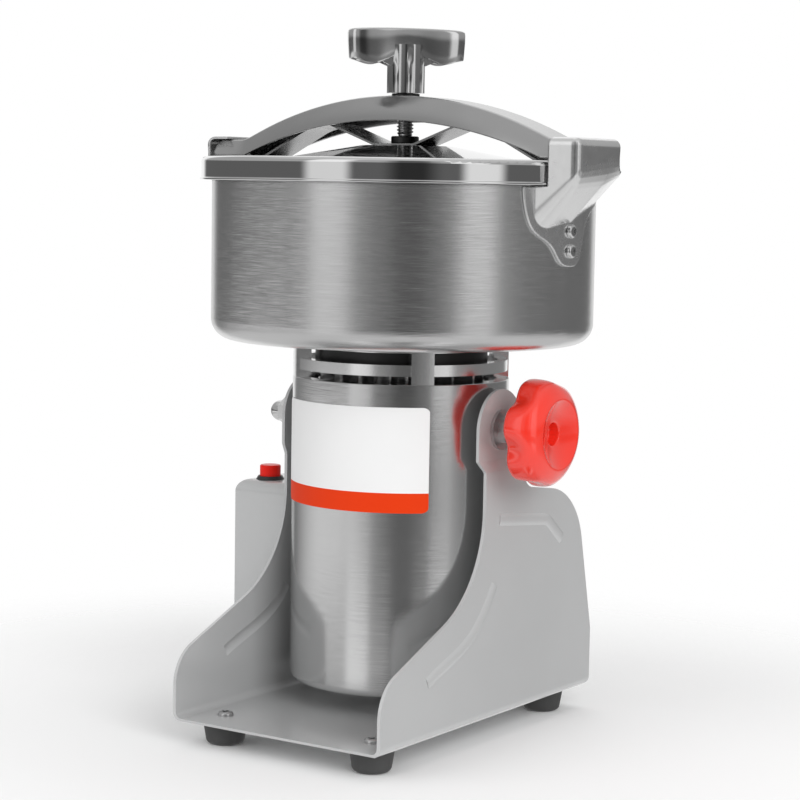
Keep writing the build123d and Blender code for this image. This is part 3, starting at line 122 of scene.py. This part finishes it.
class Recipe:
    """Builds the node tree of one material, or of the world."""

    def __init__(self, owner):
        owner.use_nodes = True
        self.owner = owner
        self.tree = owner.node_tree
        self.tree.nodes.clear()

    def node(self, kind, settings=(), sockets=(), output=0):
        made = self.tree.nodes.new(kind)
        for name, value in dict(settings).items():
            setattr(made, name, value)
        for name, value in dict(sockets).items():
            self.feed(made.inputs[name], value)
        return Signal(self, made.outputs[output])

    def feed(self, socket, value):
        if isinstance(value, Signal):
            self.tree.links.new(value.socket, socket)
        else:
            socket.default_value = value

    def blend(self, factor, first, second):
        """Colour between two colours."""
        return self.node("ShaderNodeMix", {"data_type": "RGBA"}, {0: factor, 6: first, 7: second}, output=2)

    def place(self, stretch=(1, 1, 1), shift=(0, 0, 0)):
        """Position on the object in metres, stretched."""
        here = self.node("ShaderNodeTexCoord", output=3)
        return self.node(
            "ShaderNodeVectorMath", {"operation": "MULTIPLY_ADD"}, {0: here, 1: stretch, 2: shift}
        )

    def axis(self, letter):
        """One coordinate on the object, in metres."""
        return self.node("ShaderNodeSeparateXYZ", (), {0: self.place()}, output="XYZ".index(letter))

    def cloud(self, scale, stretch=(1, 1, 1), detail=3.0, rough=0.5):
        """Noise between 0 and 1."""
        sockets = {"Vector": self.place(stretch), "Scale": scale, "Detail": detail, "Roughness": rough}
        return self.node("ShaderNodeTexNoise", (), sockets)

    def facing(self, rolled=0.0):
        """Direction that the surface faces; rolled is how far sharp edges are softened, in metres."""
        if rolled:
            return self.node("ShaderNodeBevel", {"samples": BEVEL_SAMPLES}, {"Radius": rolled})
        return self.node("ShaderNodeNewGeometry", output=1)

    def unit(self, vector):
        """The same direction with length 1."""
        return self.node("ShaderNodeVectorMath", {"operation": "NORMALIZE"}, {0: vector})

    def lean(self, facing, amount, way):
        """Tips the surface's direction towards another by a varying amount."""
        sockets = {0: way, 1: self.join(amount, amount, amount), 2: facing}
        return self.unit(self.node("ShaderNodeVectorMath", {"operation": "MULTIPLY_ADD"}, sockets))

    def join(self, x, y, z):
        return self.node("ShaderNodeCombineXYZ", (), {0: x, 1: y, 2: z})

    def length(self, vector):
        return self.node("ShaderNodeVectorMath", {"operation": "LENGTH"}, {0: vector}, output=1)

    def relief(self, height, strength, depth, facing=None):
        sockets = {"Height": height, "Strength": strength, "Distance": depth}
        if facing:
            sockets["Normal"] = facing
        return self.node("ShaderNodeBump", (), sockets)

    def surface(self, **sockets):
        """Closes the recipe with one glossy-and-matte shader; keywords are its sockets, _ for a space."""
        named = {name.replace("_", " "): value for name, value in sockets.items()}
        shader = self.node("ShaderNodeBsdfPrincipled", (), named)
        self.node_output(shader)
        return self.owner

    def node_output(self, shader):
        use = "World" if isinstance(self.owner, bpy.types.World) else "Material"
        made = self.tree.nodes.new("ShaderNodeOutput" + use)
        self.tree.links.new(shader.socket, made.inputs["Surface"])


def start(name):
    """An empty recipe for a new material."""
    return Recipe(bpy.data.materials.new(name))


def grey(value):
    return (value, value, value, 1)


print("recipes ready")

# %% [markdown]
# ## Steel
# Bare steel is a metal with a grey colour, so nearly all that the eye sees is reflection. The grades here
# differ in two ways: how sharp the reflection is (roughness) and which way the polishing lines run. The
# lines are noise that is drawn out along the lines and packed tight across them, and it goes to
# roughness and to a very small bump. A brushed wall also scatters light across its lines: there the same
# noise tips the surface up and down, which draws reflections out into upright bands.


# %% Steel finishes
ARCH_R = 0.244
ARCH_END = (0.095, 0.108)
CHEEK_HALF = 0.0075
CROWN_LEAN = 0.5
BEAM_EDGE_ROUND = 0.0012
AROUND = (60, 60, 15000)
ALONG_X = (12, 1500, 1500)
ALONG_Z = (1600, 1600, 10)
EVEN = (300, 300, 300)
FINE = (900, 900, 900)
UP = (0, 0, 1)


def steel(name, tone, rough, lines, depth, spread=0.05, blotch=0.04, comb=0.0, rolled=0.0):
    """Polished steel; lines is how tightly the noise is packed along x, y and z."""
    recipe = start(name)
    streak = recipe.cloud(1.0, lines, detail=2.0)
    smear = recipe.cloud(9.0, detail=4.0)
    color = recipe.blend(smear.fade(0.3, 0.7), grey(tone - blotch / 2), grey(tone + blotch / 2))
    facing = recipe.facing(rolled)
    if comb:
        facing = recipe.lean(facing, comb * (streak - 0.5), UP)
    return recipe.surface(
        Base_Color=color,
        Metallic=1.0,
        Roughness=rough + spread * (streak - 0.5) + 0.5 * spread * smear,
        Normal=recipe.relief(streak, 0.5, depth, facing),
    )


def pressed_beam():
    """The beam's cheeks are slightly crowned by the press, so light rolls over them along the arch."""
    recipe = start("beam_steel")
    hub_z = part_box("clamp_beam")[1][2] - ARCH_R
    streak = recipe.cloud(1.0, ALONG_X, detail=2.0)
    smear = recipe.cloud(14.0, detail=4.0)
    out = recipe.place((1, 0, 1), (0, 0, -hub_z))
    facing = recipe.facing(BEAM_EDGE_ROUND)
    on_cheek = recipe.node("ShaderNodeSeparateXYZ", (), {0: facing}, output=1).size().fade(0.6, 0.95)
    on_arch = recipe.axis("X").size().fade(*ARCH_END, 1.0, 0.0)
    crown = (recipe.length(out) - (ARCH_R - CHEEK_HALF)) * (CROWN_LEAN / CHEEK_HALF) * on_arch
    return recipe.surface(
        Base_Color=recipe.blend(smear.fade(0.3, 0.7), grey(0.45), grey(0.50)),
        Metallic=1.0,
        Roughness=0.2 + 0.06 * (streak - 0.5) + 0.03 * smear,
        Normal=recipe.relief(streak, 0.5, 0.00001, recipe.lean(facing, crown * on_cheek, recipe.unit(out))),
    )


finish = {
    "bowl_steel": steel("bowl_steel", 0.63, 0.23, AROUND, 0.000001, comb=0.7),
    "tube_steel": steel("tube_steel", 0.64, 0.17, AROUND, 0.000001, comb=0.2),
    "polished_steel": steel("polished_steel", 0.76, 0.05, EVEN, 0.000002, 0.03, 0.02),
    "beam_steel": pressed_beam(),
    "blade_steel": steel("blade_steel", 0.66, 0.22, ALONG_X, 0.00001),
    "zinc_steel": steel("zinc_steel", 0.6, 0.3, FINE, 0.00001, 0.1),
    "bright_screws": steel("bright_screws", 0.72, 0.12, FINE, 0.000004, 0.06),
    "boss_steel": steel("boss_steel", 0.6, 0.25, ALONG_Z, 0.000008),
    "bearing_steel": steel("bearing_steel", 0.7, 0.12, AROUND, 0.000003),
    "screw_steel": steel("screw_steel", 0.5, 0.26, AROUND, 0.000006, 0.08),
    "handle_chrome": steel("handle_chrome", 0.62, 0.11, (200, 200, 200), 0.000002, 0.03, 0.01),
}
HOOK_ROUND = 0.0014
hook_steel = steel("hook_steel", 0.84, 0.22, (240, 240, 240), 0.00003, 0.12, 0.08, rolled=HOOK_ROUND)
strap_steel = steel("strap_steel", 0.50, 0.26, EVEN, 0.000002, 0.04, 0.02)
print("steels", len(finish) + 2)

# %% [markdown]
# ## Castings and inner metals
# The neck is an aluminium casting turned on a lathe: turned faces show very fine rings, and the skin between
# them is a little duller. Behind its windows it is rougher, and its colour there is painted near-black as
# painted shade, chosen by distance from the motor's axis. The laminations are stacked sheets, so a fine
# stripe runs across them, and the windings show wire next to wire.


# %% Cast, stacked and wound finishes
def turned_casting():
    """Bright turned skin outside; inside the cooling windows the casting is rougher, coloured near-black as
    painted shade.
    """
    recipe = start("cast_alu")
    rings = recipe.cloud(1.0, (20, 20, 3200), detail=1.0)
    skin = recipe.cloud(1300.0, detail=3.0)
    fan_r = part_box("cooling_fan")[1][0] - AXIS.x
    from_axis = recipe.length(recipe.place((1, 1, 0), (-AXIS.x, -AXIS.y, 0)))
    outside = from_axis.fade(fan_r + 0.0025, fan_r + 0.0035)
    bright = recipe.blend(skin.fade(0.3, 0.7), grey(0.82), grey(0.88))
    return recipe.surface(
        # painted shade: every cast_alu surface closer to the motor's axis than just outside the fan is
        # coloured near-black
        Base_Color=recipe.blend(outside, grey(0.06), bright),
        Metallic=1.0,
        Roughness=0.16 + 0.06 * skin + 0.25 * (1 - outside),
        Normal=recipe.relief(0.6 * rings + 0.4 * skin, 0.2, 0.000004),
    )


def stripes(name, dark, light, pitch, rough, metal):
    """Fine layers or wires, one every pitch metres of height."""
    recipe = start(name)
    turn = recipe.axis("Z") * (2 * math.pi / pitch)
    ridge = 0.5 + 0.5 * turn.math("SINE", turn)
    patch = recipe.cloud(60.0)
    return recipe.surface(
        Base_Color=recipe.blend(0.7 * ridge + 0.3 * patch, dark, light),
        Metallic=metal,
        Roughness=rough + 0.1 * patch,
        Normal=recipe.relief(ridge, 0.6, 0.0001),
    )


def grain(name, dark, light, scale, rough, depth, metal=0.0, **more):
    """Moulded or painted skin with a fine even grain."""
    recipe = start(name)
    fine = recipe.cloud(scale, detail=2.0)
    patch = recipe.cloud(18.0, detail=4.0)
    return recipe.surface(
        Base_Color=recipe.blend(patch.fade(0.3, 0.7), dark, light),
        Metallic=metal,
        Roughness=rough + 0.08 * (fine - 0.5) + 0.06 * (patch - 0.5),
        Normal=recipe.relief(fine, 0.4, depth),
        **more,
    )


finish["cast_alu"] = turned_casting()
finish["lamination"] = stripes("lamination", grey(0.12), grey(0.3), 0.0012, 0.35, 1.0)
COPPER_DARK = (0.28, 0.08, 0.03, 1)
COPPER_LIGHT = (0.75, 0.3, 0.13, 1)
finish["copper_wire"] = stripes("copper_wire", COPPER_DARK, COPPER_LIGHT, 0.0018, 0.3, 1.0)
finish["fan_plastic"] = grain("fan_metal", grey(0.55), grey(0.68), 500, 0.25, 0.00001, metal=1.0)
BRASS_DARK = (0.62, 0.5, 0.28, 1)
BRASS_LIGHT = (0.72, 0.6, 0.36, 1)
finish["pin_brass"] = grain("pin_brass", BRASS_DARK, BRASS_LIGHT, 700, 0.25, 0.000004, metal=1.0)
finish["carbon"] = grain("carbon", grey(0.02), grey(0.05), 900, 0.6, 0.00002)
finish["dark_spacer"] = grain("dark_spacer", grey(0.03), grey(0.06), 600, 0.35, 0.00001, metal=0.6)
print("cast and wound finishes ready")

# %% [markdown]
# ## Paint, rubber and plastic
# The stand is silver-grey paint on sheet steel: a plain colour under a thin gloss, with the faint
# orange-peel ripple that sprayed paint dries with. Rubber and moulded plastic carry a finer grain.
# The label is white film; its band is a matter of height, so the colour is chosen by the Z coordinate.
# The knob's red is a plain strong colour, and a clear coat on top gives its moulded gloss.


# %% Paint, rubber, plastic and the label
BAND_SHARE = 0.19
BAND_BLEED = 0.0001


def silver_paint():
    recipe = start("stand_paint")
    peel = recipe.cloud(420.0, detail=1.0)
    flake = recipe.cloud(5200.0, detail=1.0)
    dust = recipe.cloud(7.0, detail=5.0)
    body = recipe.blend(dust.fade(0.3, 0.75), (0.515, 0.52, 0.522, 1), (0.55, 0.555, 0.557, 1))
    return recipe.surface(
        Base_Color=recipe.blend(flake.fade(0.62, 0.75), body, grey(0.64)),
        Metallic=0.1,
        Roughness=0.34 + 0.1 * (dust - 0.5) + 0.06 * (flake - 0.5),
        Normal=recipe.relief(peel, 0.3, 0.00004),
        Coat_Weight=0.8,
        Coat_Roughness=0.13,
    )


def label_film():
    recipe = start("label_film")
    low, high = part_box("label_plate")
    band_top = low[2] + BAND_SHARE * (high[2] - low[2])
    band = recipe.axis("Z").fade(band_top - BAND_BLEED, band_top + BAND_BLEED, 1.0, 0.0)
    tooth = recipe.cloud(800.0, detail=2.0)
    wear = recipe.cloud(25.0, detail=5.0)
    white = recipe.blend(wear, grey(0.84), grey(0.88))
    orange = recipe.blend(wear, (0.76, 0.038, 0.001, 1), (0.82, 0.048, 0.002, 1))
    return recipe.surface(
        Base_Color=recipe.blend(band, white, orange),
        Roughness=0.5 + 0.1 * (tooth - 0.5),
        Normal=recipe.relief(tooth, 0.2, 0.00001),
        Specular_IOR_Level=0.2,
    )


finish["stand_paint"] = silver_paint()
finish["label_film"] = label_film()
finish["foot_rubber"] = grain("foot_rubber", grey(0.045), grey(0.07), 1500, 0.62, 0.00006)
finish["black_plastic"] = grain("black_plastic", grey(0.02), grey(0.03), 1200, 0.42, 0.00003)
finish["gasket_silicone"] = grain("gasket_silicone", grey(0.62), grey(0.7), 700, 0.5, 0.00001)
RED_LOW = (0.90, 0.034, 0.018, 1)
RED_HIGH = (0.96, 0.044, 0.024, 1)
finish["knob_red"] = grain(
    "knob_red", RED_LOW, RED_HIGH, 260, 0.16, 0.000015, Coat_Weight=1.0, Coat_Roughness=0.03
)
LENS_LOW = (0.80, 0.006, 0.001, 1)
LENS_HIGH = (0.88, 0.010, 0.002, 1)
finish["red_lens"] = grain(
    "red_lens", LENS_LOW, LENS_HIGH, 300, 0.3, 0.00001, Specular_IOR_Level=0.3
)
print("finishes", len(finish))

# %% [markdown]
# ## Finish on every solid piece
# The record says which slot each node belongs to, so one loop dresses them all. Shading is smooth except
# across real corners, which keeps rolled edges round and sheared edges crisp.

# %% Dress the solid pieces
CORNER = math.radians(32)
own_finish = {"hook_bracket_right": hook_steel, "hook_bracket_left": hook_steel, "lid_strap": strap_steel}
for row in frame["record"]["subparts"]:
    mesh = frame["nodes"][row["node"]].data
    mesh.materials.clear()
    mesh.materials.append(own_finish.get(row["node"], finish[row["material_slot"]]))
    mesh.polygons.foreach_set("use_smooth", [True] * len(mesh.polygons))
    mesh.set_sharp_from_angle(angle=CORNER)

# %% [markdown]
# ## Meshes from rings
# The remade pieces are stacks of rings of points around an axis: the knob's rings are lobed, the screw's
# climb with the thread, the handle's follow a dog bone. One helper joins the rings of each stack to a
# closed skin; what differs is the formula of a ring.


# %% Join rings to a skin
def skin(name, stacks, material, smooth=0, closed=False):
    """Mesh of one or more stacks of rings; a closed stack ends where it begins, others get end caps."""
    points = []
    faces = []
    for rings in stacks:
        first = len(points)
        count = len(rings[0])
        rows = len(rings)
        points += [point for ring in rings for point in ring]
        for row in range(rows if closed else rows - 1):
            here = first + row * count
            there = first + (row + 1) % rows * count
            for k in range(count):
                nxt = (k + 1) % count
                faces.append((here + k, here + nxt, there + nxt, there + k))
        if not closed:
            faces.append(tuple(first + k for k in reversed(range(count))))
            faces.append(tuple(first + (rows - 1) * count + k for k in range(count)))
    mesh = bpy.data.meshes.new(name)
    mesh.from_pydata(points, [], faces)
    mesh.polygons.foreach_set("use_smooth", [True] * len(mesh.polygons))
    mesh.update()
    mesh.materials.append(material)
    piece = bpy.data.objects.new(name, mesh)
    scene.collection.objects.link(piece)
    if smooth:
        rounding = piece.modifiers.new("rounding", "SUBSURF")
        rounding.levels = smooth
        rounding.render_levels = smooth
    else:
        mesh.set_sharp_from_angle(angle=CORNER)
    print(name, "stacks", len(stacks), "faces", len(faces))
    return piece


def round_axis(radius, height, count=160):
    """A plain ring around the motor's axis."""
    turns = [2 * math.pi * k / count for k in range(count)]
    return [(AXIS.x + radius * math.cos(t), AXIS.y + radius * math.sin(t), height) for t in turns]


# %% [markdown]
# ## The motor tube
# A drawn stainless cup: a plain wall, a rounded bottom corner and a turned-in bottom flange. A lathe
# profile that closes on itself gives inside and outside at once, with its wall as thick as the sheet.

# %% Turn the motor tube
SHEET = 0.0015
CUP_ROUND = 0.005
FLANGE = 0.014
low, high = (Vector(corner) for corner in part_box("motor_tube"))
tube_r = high.x - AXIS.x


def cup_corner(centre_r, radius, steps=8):
    """Quarter round between wall and bottom, as (radius, height) points from the wall down."""
    turns = [math.pi / 2 * k / steps for k in range(steps + 1)]
    base = low.z + CUP_ROUND
    return [(centre_r + radius * math.cos(t), base - radius * math.sin(t)) for t in turns]


EDGE = 0.0003
mouth = [(tube_r - SHEET, high.z), (tube_r - EDGE, high.z), (tube_r, high.z - EDGE)]
outside = cup_corner(tube_r - CUP_ROUND, CUP_ROUND)
lip = [(tube_r - FLANGE, low.z), (tube_r - FLANGE, low.z + SHEET)]
inside = list(reversed(cup_corner(tube_r - CUP_ROUND, CUP_ROUND - SHEET)))
profile = mouth + outside + lip + inside
rings = [round_axis(*point) for point in profile]
tube = skin("motor_tube_shell", [rings], finish["tube_steel"], closed=True)
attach(tube, "head")
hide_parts("motor_tube")

# %% [markdown]
# ## The star knob
# A moulded grip with six lobes. The finger flutes are deep at the back, where the fingers pull, and fade
# out towards the domed face, which is dished round a blind hole. A side view of (depth, radius) stations
# gives the rings, each station says how strongly the flutes show there, and two levels of subdivision
# round it all.

# %% Model the star knob
LOBES = 6
LOBE_PHASE = math.radians(104)
FLUTE_DEPTH = 0.0046
FLUTE_SHARPNESS = 1.8
back, front = (corner[0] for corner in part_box("star_knob"))
KNOB_STATIONS = [
    # depth from the hub's end and radius in millimetres, strength of the flutes
    (0.0, 5.6, 0.0),
    (0.0, 10.9, 0.0),
    (0.6, 11.5, 0.0),
    (6.6, 12.4, 0.0),
    (7.6, 13.8, 0.05),
    (8.0, 20.0, 0.5),
    (8.2, 26.0, 0.9),
    (8.7, 29.8, 1.0),
    (10.0, 31.7, 1.0),
    (12.0, 32.2, 0.98),
    (15.0, 32.2, 0.85),
    (18.5, 31.9, 0.6),
    (21.5, 31.3, 0.36),
    (24.2, 30.0, 0.18),
    (26.4, 27.9, 0.07),
    (28.2, 25.2, 0.02),
    (29.4, 22.6, 0.0),
    (29.9, 21.1, 0.0),
    (30.0, 20.4, 0.0),
    (29.7, 19.7, 0.0),
    (28.9, 18.4, 0.0),
    (27.6, 15.6, 0.0),
    (26.2, 11.6, 0.0),
    (25.4, 8.3, 0.0),
    (25.1, 7.2, 0.0),
    (24.7, 6.7, 0.0),
    (23.8, 6.4, 0.0),
    (19.0, 6.2, 0.0),
    (18.3, 5.6, 0.0),
    (18.0, 1.8, 0.0),
]


def knob_ring(depth, radius, fluting, count=120):
    ring = []
    for k in range(count):
        angle = 2 * math.pi * k / count
        wave = 0.5 - 0.5 * math.cos(LOBES * (angle - LOBE_PHASE))
        reach = radius / 1000 - fluting * FLUTE_DEPTH * wave ** FLUTE_SHARPNESS
        place = (back + depth / 1000, PIVOT.y + reach * math.cos(angle), PIVOT.z + reach * math.sin(angle))
        ring.append(place)
    return ring


rings = [knob_ring(*station) for station in KNOB_STATIONS]
star_knob = skin("star_knob_grip", [rings], finish["knob_red"], smooth=2)
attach(star_knob, "knob")
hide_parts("star_knob")
print("knob depth", round(front - back, 4))

# %% [markdown]
# ## The T-handle
# A die-cast, chrome-plated grip. From above the bar is a dog bone, its walls draw in a little towards the
# bottom, its underside waves down into two lobes with a shallow pocket, and a fluted stem takes the screw.
# Four small webs brace the stem. Each ring of the bar is the dog bone at some scale, dropped by a depth
# that depends on where along the bar it is.

# %% Model the T-handle
BAR_HALF = 0.0355
BAR_WIDE = 0.0102
BAR_WAIST = 0.0028
BAR_SQUARE = 0.62
LOBE_X = 0.0215
LOBE_DROP = 0.0215
WAIST_DROP = 0.014
END_DROP = 0.0188
CROWN = 0.0009
STEM_R = 0.01135
STEM_FLUTES = 8
STEM_FLUTE_DEPTH = 0.0014
handle_turn = Matrix.Rotation(math.radians(46), 4, "Z")
foot_z, top_z = (corner[2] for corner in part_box("t_handle"))


def ease(start_value, end_value, share):
    """Smooth step from one value to another."""
    return start_value + (end_value - start_value) * (0.5 - 0.5 * math.cos(math.pi * share))


def underside(along):
    """Depth of the bar's lower edge below its top, at a distance from the middle."""
    away = abs(along)
    if away < LOBE_X:
        return ease(WAIST_DROP, LOBE_DROP, away / LOBE_X)
    return ease(LOBE_DROP, END_DROP, min(1.0, (away - LOBE_X) / (BAR_HALF - LOBE_X)))


def bar_ring(share, depth, edge, count=112):
    """Dog bone at a share of its width; depth is the share of the way down, edge a drop in metres."""
    ring = []
    for k in range(count):
        angle = 2 * math.pi * k / count
        c, s = math.cos(angle), math.sin(angle)
        along = BAR_HALF * math.copysign(abs(c) ** BAR_SQUARE, c)
        wide = BAR_WIDE - BAR_WAIST * (1 - (along / BAR_HALF) ** 2) ** 1.5
        across = wide * math.copysign(abs(s) ** BAR_SQUARE, s)
        drop = depth * underside(along) + edge + CROWN * (along / BAR_HALF) ** 2 * (1 - depth)
        along *= 1 - (1 - share) * BAR_WIDE / BAR_HALF
        across *= share
        ring.append(Vector((along, across, -drop)))
    return ring


WEB_OUTLINE = [(0.009, -0.0205), (0.0105, -0.0225), (0.0175, -0.0195), (0.0175, -0.016), (0.009, -0.013)]
WEB_FACES = (0.0049, 0.0062)
BAR_STATIONS = [
    # share of the dog bone, share of the depth, extra drop in metres
    (0.02, 0.0, 0.0),
    (0.45, 0.0, 0.0),
    (0.80, 0.0, 0.00015),
    (0.91, 0.0, 0.0005),
    (0.975, 0.0, 0.0012),
    (1.0, 0.0, 0.0026),
    (0.995, 0.35, 0.001),
    (0.955, 0.75, 0.0),
    (0.93, 0.94, 0.0),
    (0.91, 0.985, 0.0),
    (0.87, 1.0, 0.0),
    (0.82, 0.99, 0.0),
    (0.78, 0.94, 0.0),
    (0.74, 0.84, 0.0),
    (0.45, 0.8, 0.0),
    (0.02, 0.8, 0.0),
]


def stem_ring(height, fluting, count=160):
    """A fluted circle; fluting says how deep the flutes are there."""
    ring = []
    for k in range(count):
        angle = 2 * math.pi * k / count
        groove = max(0.0, math.cos(STEM_FLUTES * angle)) ** 0.7
        radius = STEM_R - STEM_FLUTE_DEPTH * fluting * groove
        ring.append(Vector((radius * math.cos(angle), radius * math.sin(angle), height)))
    return ring


def web(side, lean):
    """Thin brace between the stem's top and a lobe."""
    return [[Vector((side * x, lean * y, z)) for x, z in WEB_OUTLINE] for y in WEB_FACES]


stem_foot = foot_z - top_z
stem = [
    stem_ring(stem_foot, 0.9),
    stem_ring(stem_foot + 0.0004, 1.0),
    stem_ring(-LOBE_DROP - 0.0005, 1.0),
    stem_ring(-LOBE_DROP + 0.002, 0.2),
    stem_ring(-WAIST_DROP + 0.004, 0.0),
]
webs = [web(side, lean) for side in (-1, 1) for lean in (-1, 1)]
bar = [bar_ring(*station) for station in BAR_STATIONS]
to_top = Matrix.Translation((AXIS.x, AXIS.y, top_z)) @ handle_turn
stacks = [[[to_top @ point for point in ring] for ring in rings] for rings in [bar, stem] + webs]
handle = skin("t_handle_grip", stacks, finish["handle_chrome"])
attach(handle, "screw")
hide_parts("t_handle")

# %% [markdown]
# ## The clamp screw
# A ten-millimetre screw with a coarse rolled thread. The thread is the same ring again and again, each a
# little higher, with a radius that follows a flat-topped wave; the wave's place depends on height and
# angle together, and that is what makes a helix.

# %% Cut the thread
THREAD_PITCH = 0.002
THREAD_DEPTH = 0.0009
low, high = (Vector(corner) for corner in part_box("clamp_screw"))
screw_r = (high.x - low.x) / 2
TIP_LENGTH = 0.0058
TIP_SHARE = 0.78
RINGS_PER_TURN = 8


def thread_radius(height, angle):
    """Outer radius of the screw at a height and an angle."""
    if height < TIP_LENGTH:
        return screw_r * TIP_SHARE
    turn = height / THREAD_PITCH - angle / (2 * math.pi)
    wave = 0.5 + 0.5 * math.cos(2 * math.pi * turn)
    crest = min(1.0, max(0.0, 1.6 * wave - 0.3))
    run_in = min(1.0, (height - TIP_LENGTH) / THREAD_PITCH)
    return screw_r - THREAD_DEPTH * (1 - crest * run_in)


def thread_ring(height, count=36):
    ring = []
    for k in range(count):
        angle = 2 * math.pi * k / count
        radius = thread_radius(height, angle)
        ring.append((AXIS.x + radius * math.cos(angle), AXIS.y + radius * math.sin(angle), low.z + height))
    return ring


steps = int((high.z - low.z) / (THREAD_PITCH / RINGS_PER_TURN))
rings = [thread_ring((high.z - low.z) * step / steps) for step in range(steps + 1)]
screw = skin("clamp_screw_thread", [rings], finish["screw_steel"])
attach(screw, "screw")
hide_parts("clamp_screw")

# %% [markdown]
# ## Floor
# A white disc that dissolves at its rim, so that no horizon line shows and the soft contact shadow stays.

# %% Lay the floor
FLOOR_R = 1.6
FLOOR_FADE = (0.22, 0.5)
FLOOR_SIDES = 96
FLOOR_GAP = 0.0002
mesh = bpy.data.meshes.new("studio_floor")
turns = [2 * math.pi * k / FLOOR_SIDES for k in range(FLOOR_SIDES)]
edge = [(FLOOR_R * math.cos(t), FLOOR_R * math.sin(t), FLOOR_Z - FLOOR_GAP) for t in turns]
mesh.from_pydata(edge, [], [tuple(range(FLOOR_SIDES))])
floor = bpy.data.objects.new("studio_floor", mesh)
scene.collection.objects.link(floor)
recipe = start("studio_floor")
rim = recipe.length(recipe.place()).fade(*FLOOR_FADE)
white = recipe.node("ShaderNodeBsdfDiffuse", (), {"Color": grey(0.97)})
clear = recipe.node("ShaderNodeBsdfTransparent")
recipe.node_output(recipe.node("ShaderNodeMixShader", (), {0: rim, 1: white, 2: clear}))
mesh.materials.append(recipe.owner)
floor.visible_glossy = False
print("floor radius", FLOOR_R)

# %% [markdown]
# ## Studio light
# Metal shows the room, so the room matters as much as the lamps. The world is a plain white for the camera,
# and metal sees the same white behind the mill. The rest of the studio is drawn with arithmetic on the
# direction: grey walls that are darker at eye level, two tall soft boxes left and right of the camera, a
# dark gap where the camera stands, a broad low panel that lights the motor tube from the left, a pale
# ceiling and a pale table top. Matt surfaces get one even level instead, so the reflections can be drawn
# freely without tinting them.

# %% Build the studio
CAMERA_TURN = math.radians(33.918)
world = bpy.data.worlds.new("studio")
scene.world = world
recipe = Recipe(world)
direction = recipe.node("ShaderNodeTexCoord", output=0)
to_camera = (math.sin(CAMERA_TURN), -math.cos(CAMERA_TURN), 0)
to_right = (math.cos(CAMERA_TURN), math.sin(CAMERA_TURN), 0)


def part_of(vector):
    """Length of the direction's part along a fixed vector."""
    sockets = {0: direction, 1: vector}
    return recipe.node("ShaderNodeVectorMath", {"operation": "DOT_PRODUCT"}, sockets, output=1)


to_the_right = part_of(to_right)
turn = to_the_right.math("ARCTAN2", to_the_right, part_of(to_camera)) * math.degrees(1)
height = part_of(UP)


def panel(centre, half_width, soft):
    """1 inside a tall upright panel that stands at an angle from the camera, fading at its edges."""
    return (turn - centre).size().fade(half_width - soft, half_width + soft, 1.0, 0.0)


def mixed(share, first, second):
    return first * (1 - share) + second * share


# brightness of the plain parts of the room, where 1 is white
WALLS = 0.42
CEILING = 0.62
TABLE_TOP = 0.72
MATT_LIGHT = 0.60
# degrees to the right of the camera, half width in degrees, softness in degrees
CAMERA_GAP = (4, 12, 7)
LEFT_BOX = (-43.5, 12.5, 4)
RIGHT_BOX = (44.5, 11.5, 4)
LOW_LEFT = (-80, 42, 34)
LOW_RIGHT = (54, 15, 22)
eye_level = height.size().fade(0.03, 0.14, 1.0, 0.0)
room = WALLS * (1 - 0.7 * eye_level) * (1 - 0.76 * panel(*CAMERA_GAP))
room = room + 0.66 * panel(*LEFT_BOX) + 0.74 * panel(*RIGHT_BOX)
low_panel = 0.16 + 0.76 * panel(*LOW_LEFT) + 0.31 * panel(*LOW_RIGHT)
low_level = height.fade(-0.075, -0.12) * height.fade(-0.30, -0.22)
room = mixed(low_level, room, low_panel)
room = mixed(height.fade(0.55, 0.9), room, CEILING)
room = mixed(height.fade(-0.3, -0.45) * height.fade(-0.92, -0.8), room, TABLE_TOP)
backdrop = turn.size().fade(148, 158) * height.fade(-0.7, -0.5)
seen, diffuse, glossy, through = (recipe.node("ShaderNodeLightPath", output=k) for k in (0, 2, 3, 6))
white = seen + through + glossy * backdrop
white = white.math("MINIMUM", white, 1.0)
level = mixed(white, mixed(diffuse, room, MATT_LIGHT), 1.0)
shade = recipe.join(level, level, level)
recipe.node_output(recipe.node("ShaderNodeBackground", (), {"Color": shade, "Strength": 1.0}))


def lamp(name, place, size, watts):
    """A square soft lamp that faces the middle of the mill and stays out of reflections."""
    data = bpy.data.lights.new(name, "AREA")
    data.size = size
    data.energy = watts
    made = bpy.data.objects.new(name, data)
    made.location = place
    aim = Vector((0, 0, 0.2)) - made.location
    made.rotation_euler = aim.to_track_quat("-Z", "Y").to_euler()
    made.visible_glossy = False
    scene.collection.objects.link(made)
    return made


lamp("key_lamp", Vector((1.7, -1.0, 1.1)), 1.2, 21)
lamp("fill_lamp", Vector((-0.9, -1.7, 1.0)), 1.4, 10)
lamp("top_lamp", Vector((0.0, 0.4, 2.0)), 1.4, 6)
print("studio lit")

# %% [markdown]
# ## Camera
# A long lens a little above the bowl's rim, turned so that stand, label and knob all show.

# %% Place the camera
CAMERA_PLACE = Vector((0.7493, -1.1151, 0.32965))
CAMERA_DOWN = math.radians(5.553)
CAMERA_ROLL = math.radians(0.9465)
SENSOR_MM = 36
LENS_MM = 100.242
lens = bpy.data.cameras.new("camera")
lens.sensor_width = SENSOR_MM
lens.lens = LENS_MM
camera = bpy.data.objects.new("camera", lens)
camera.matrix_world = (
    Matrix.Translation(CAMERA_PLACE + Vector((0, AXIS.y, 0)))
    @ Matrix.Rotation(CAMERA_TURN, 4, "Z")
    @ Matrix.Rotation(math.pi / 2 - CAMERA_DOWN, 4, "X")
    @ Matrix.Rotation(CAMERA_ROLL, 4, "Z")
)
scene.collection.objects.link(camera)
scene.camera = camera
scene.view_settings.view_transform = "Standard"
print("camera at", [round(value, 3) for value in camera.matrix_world.translation])
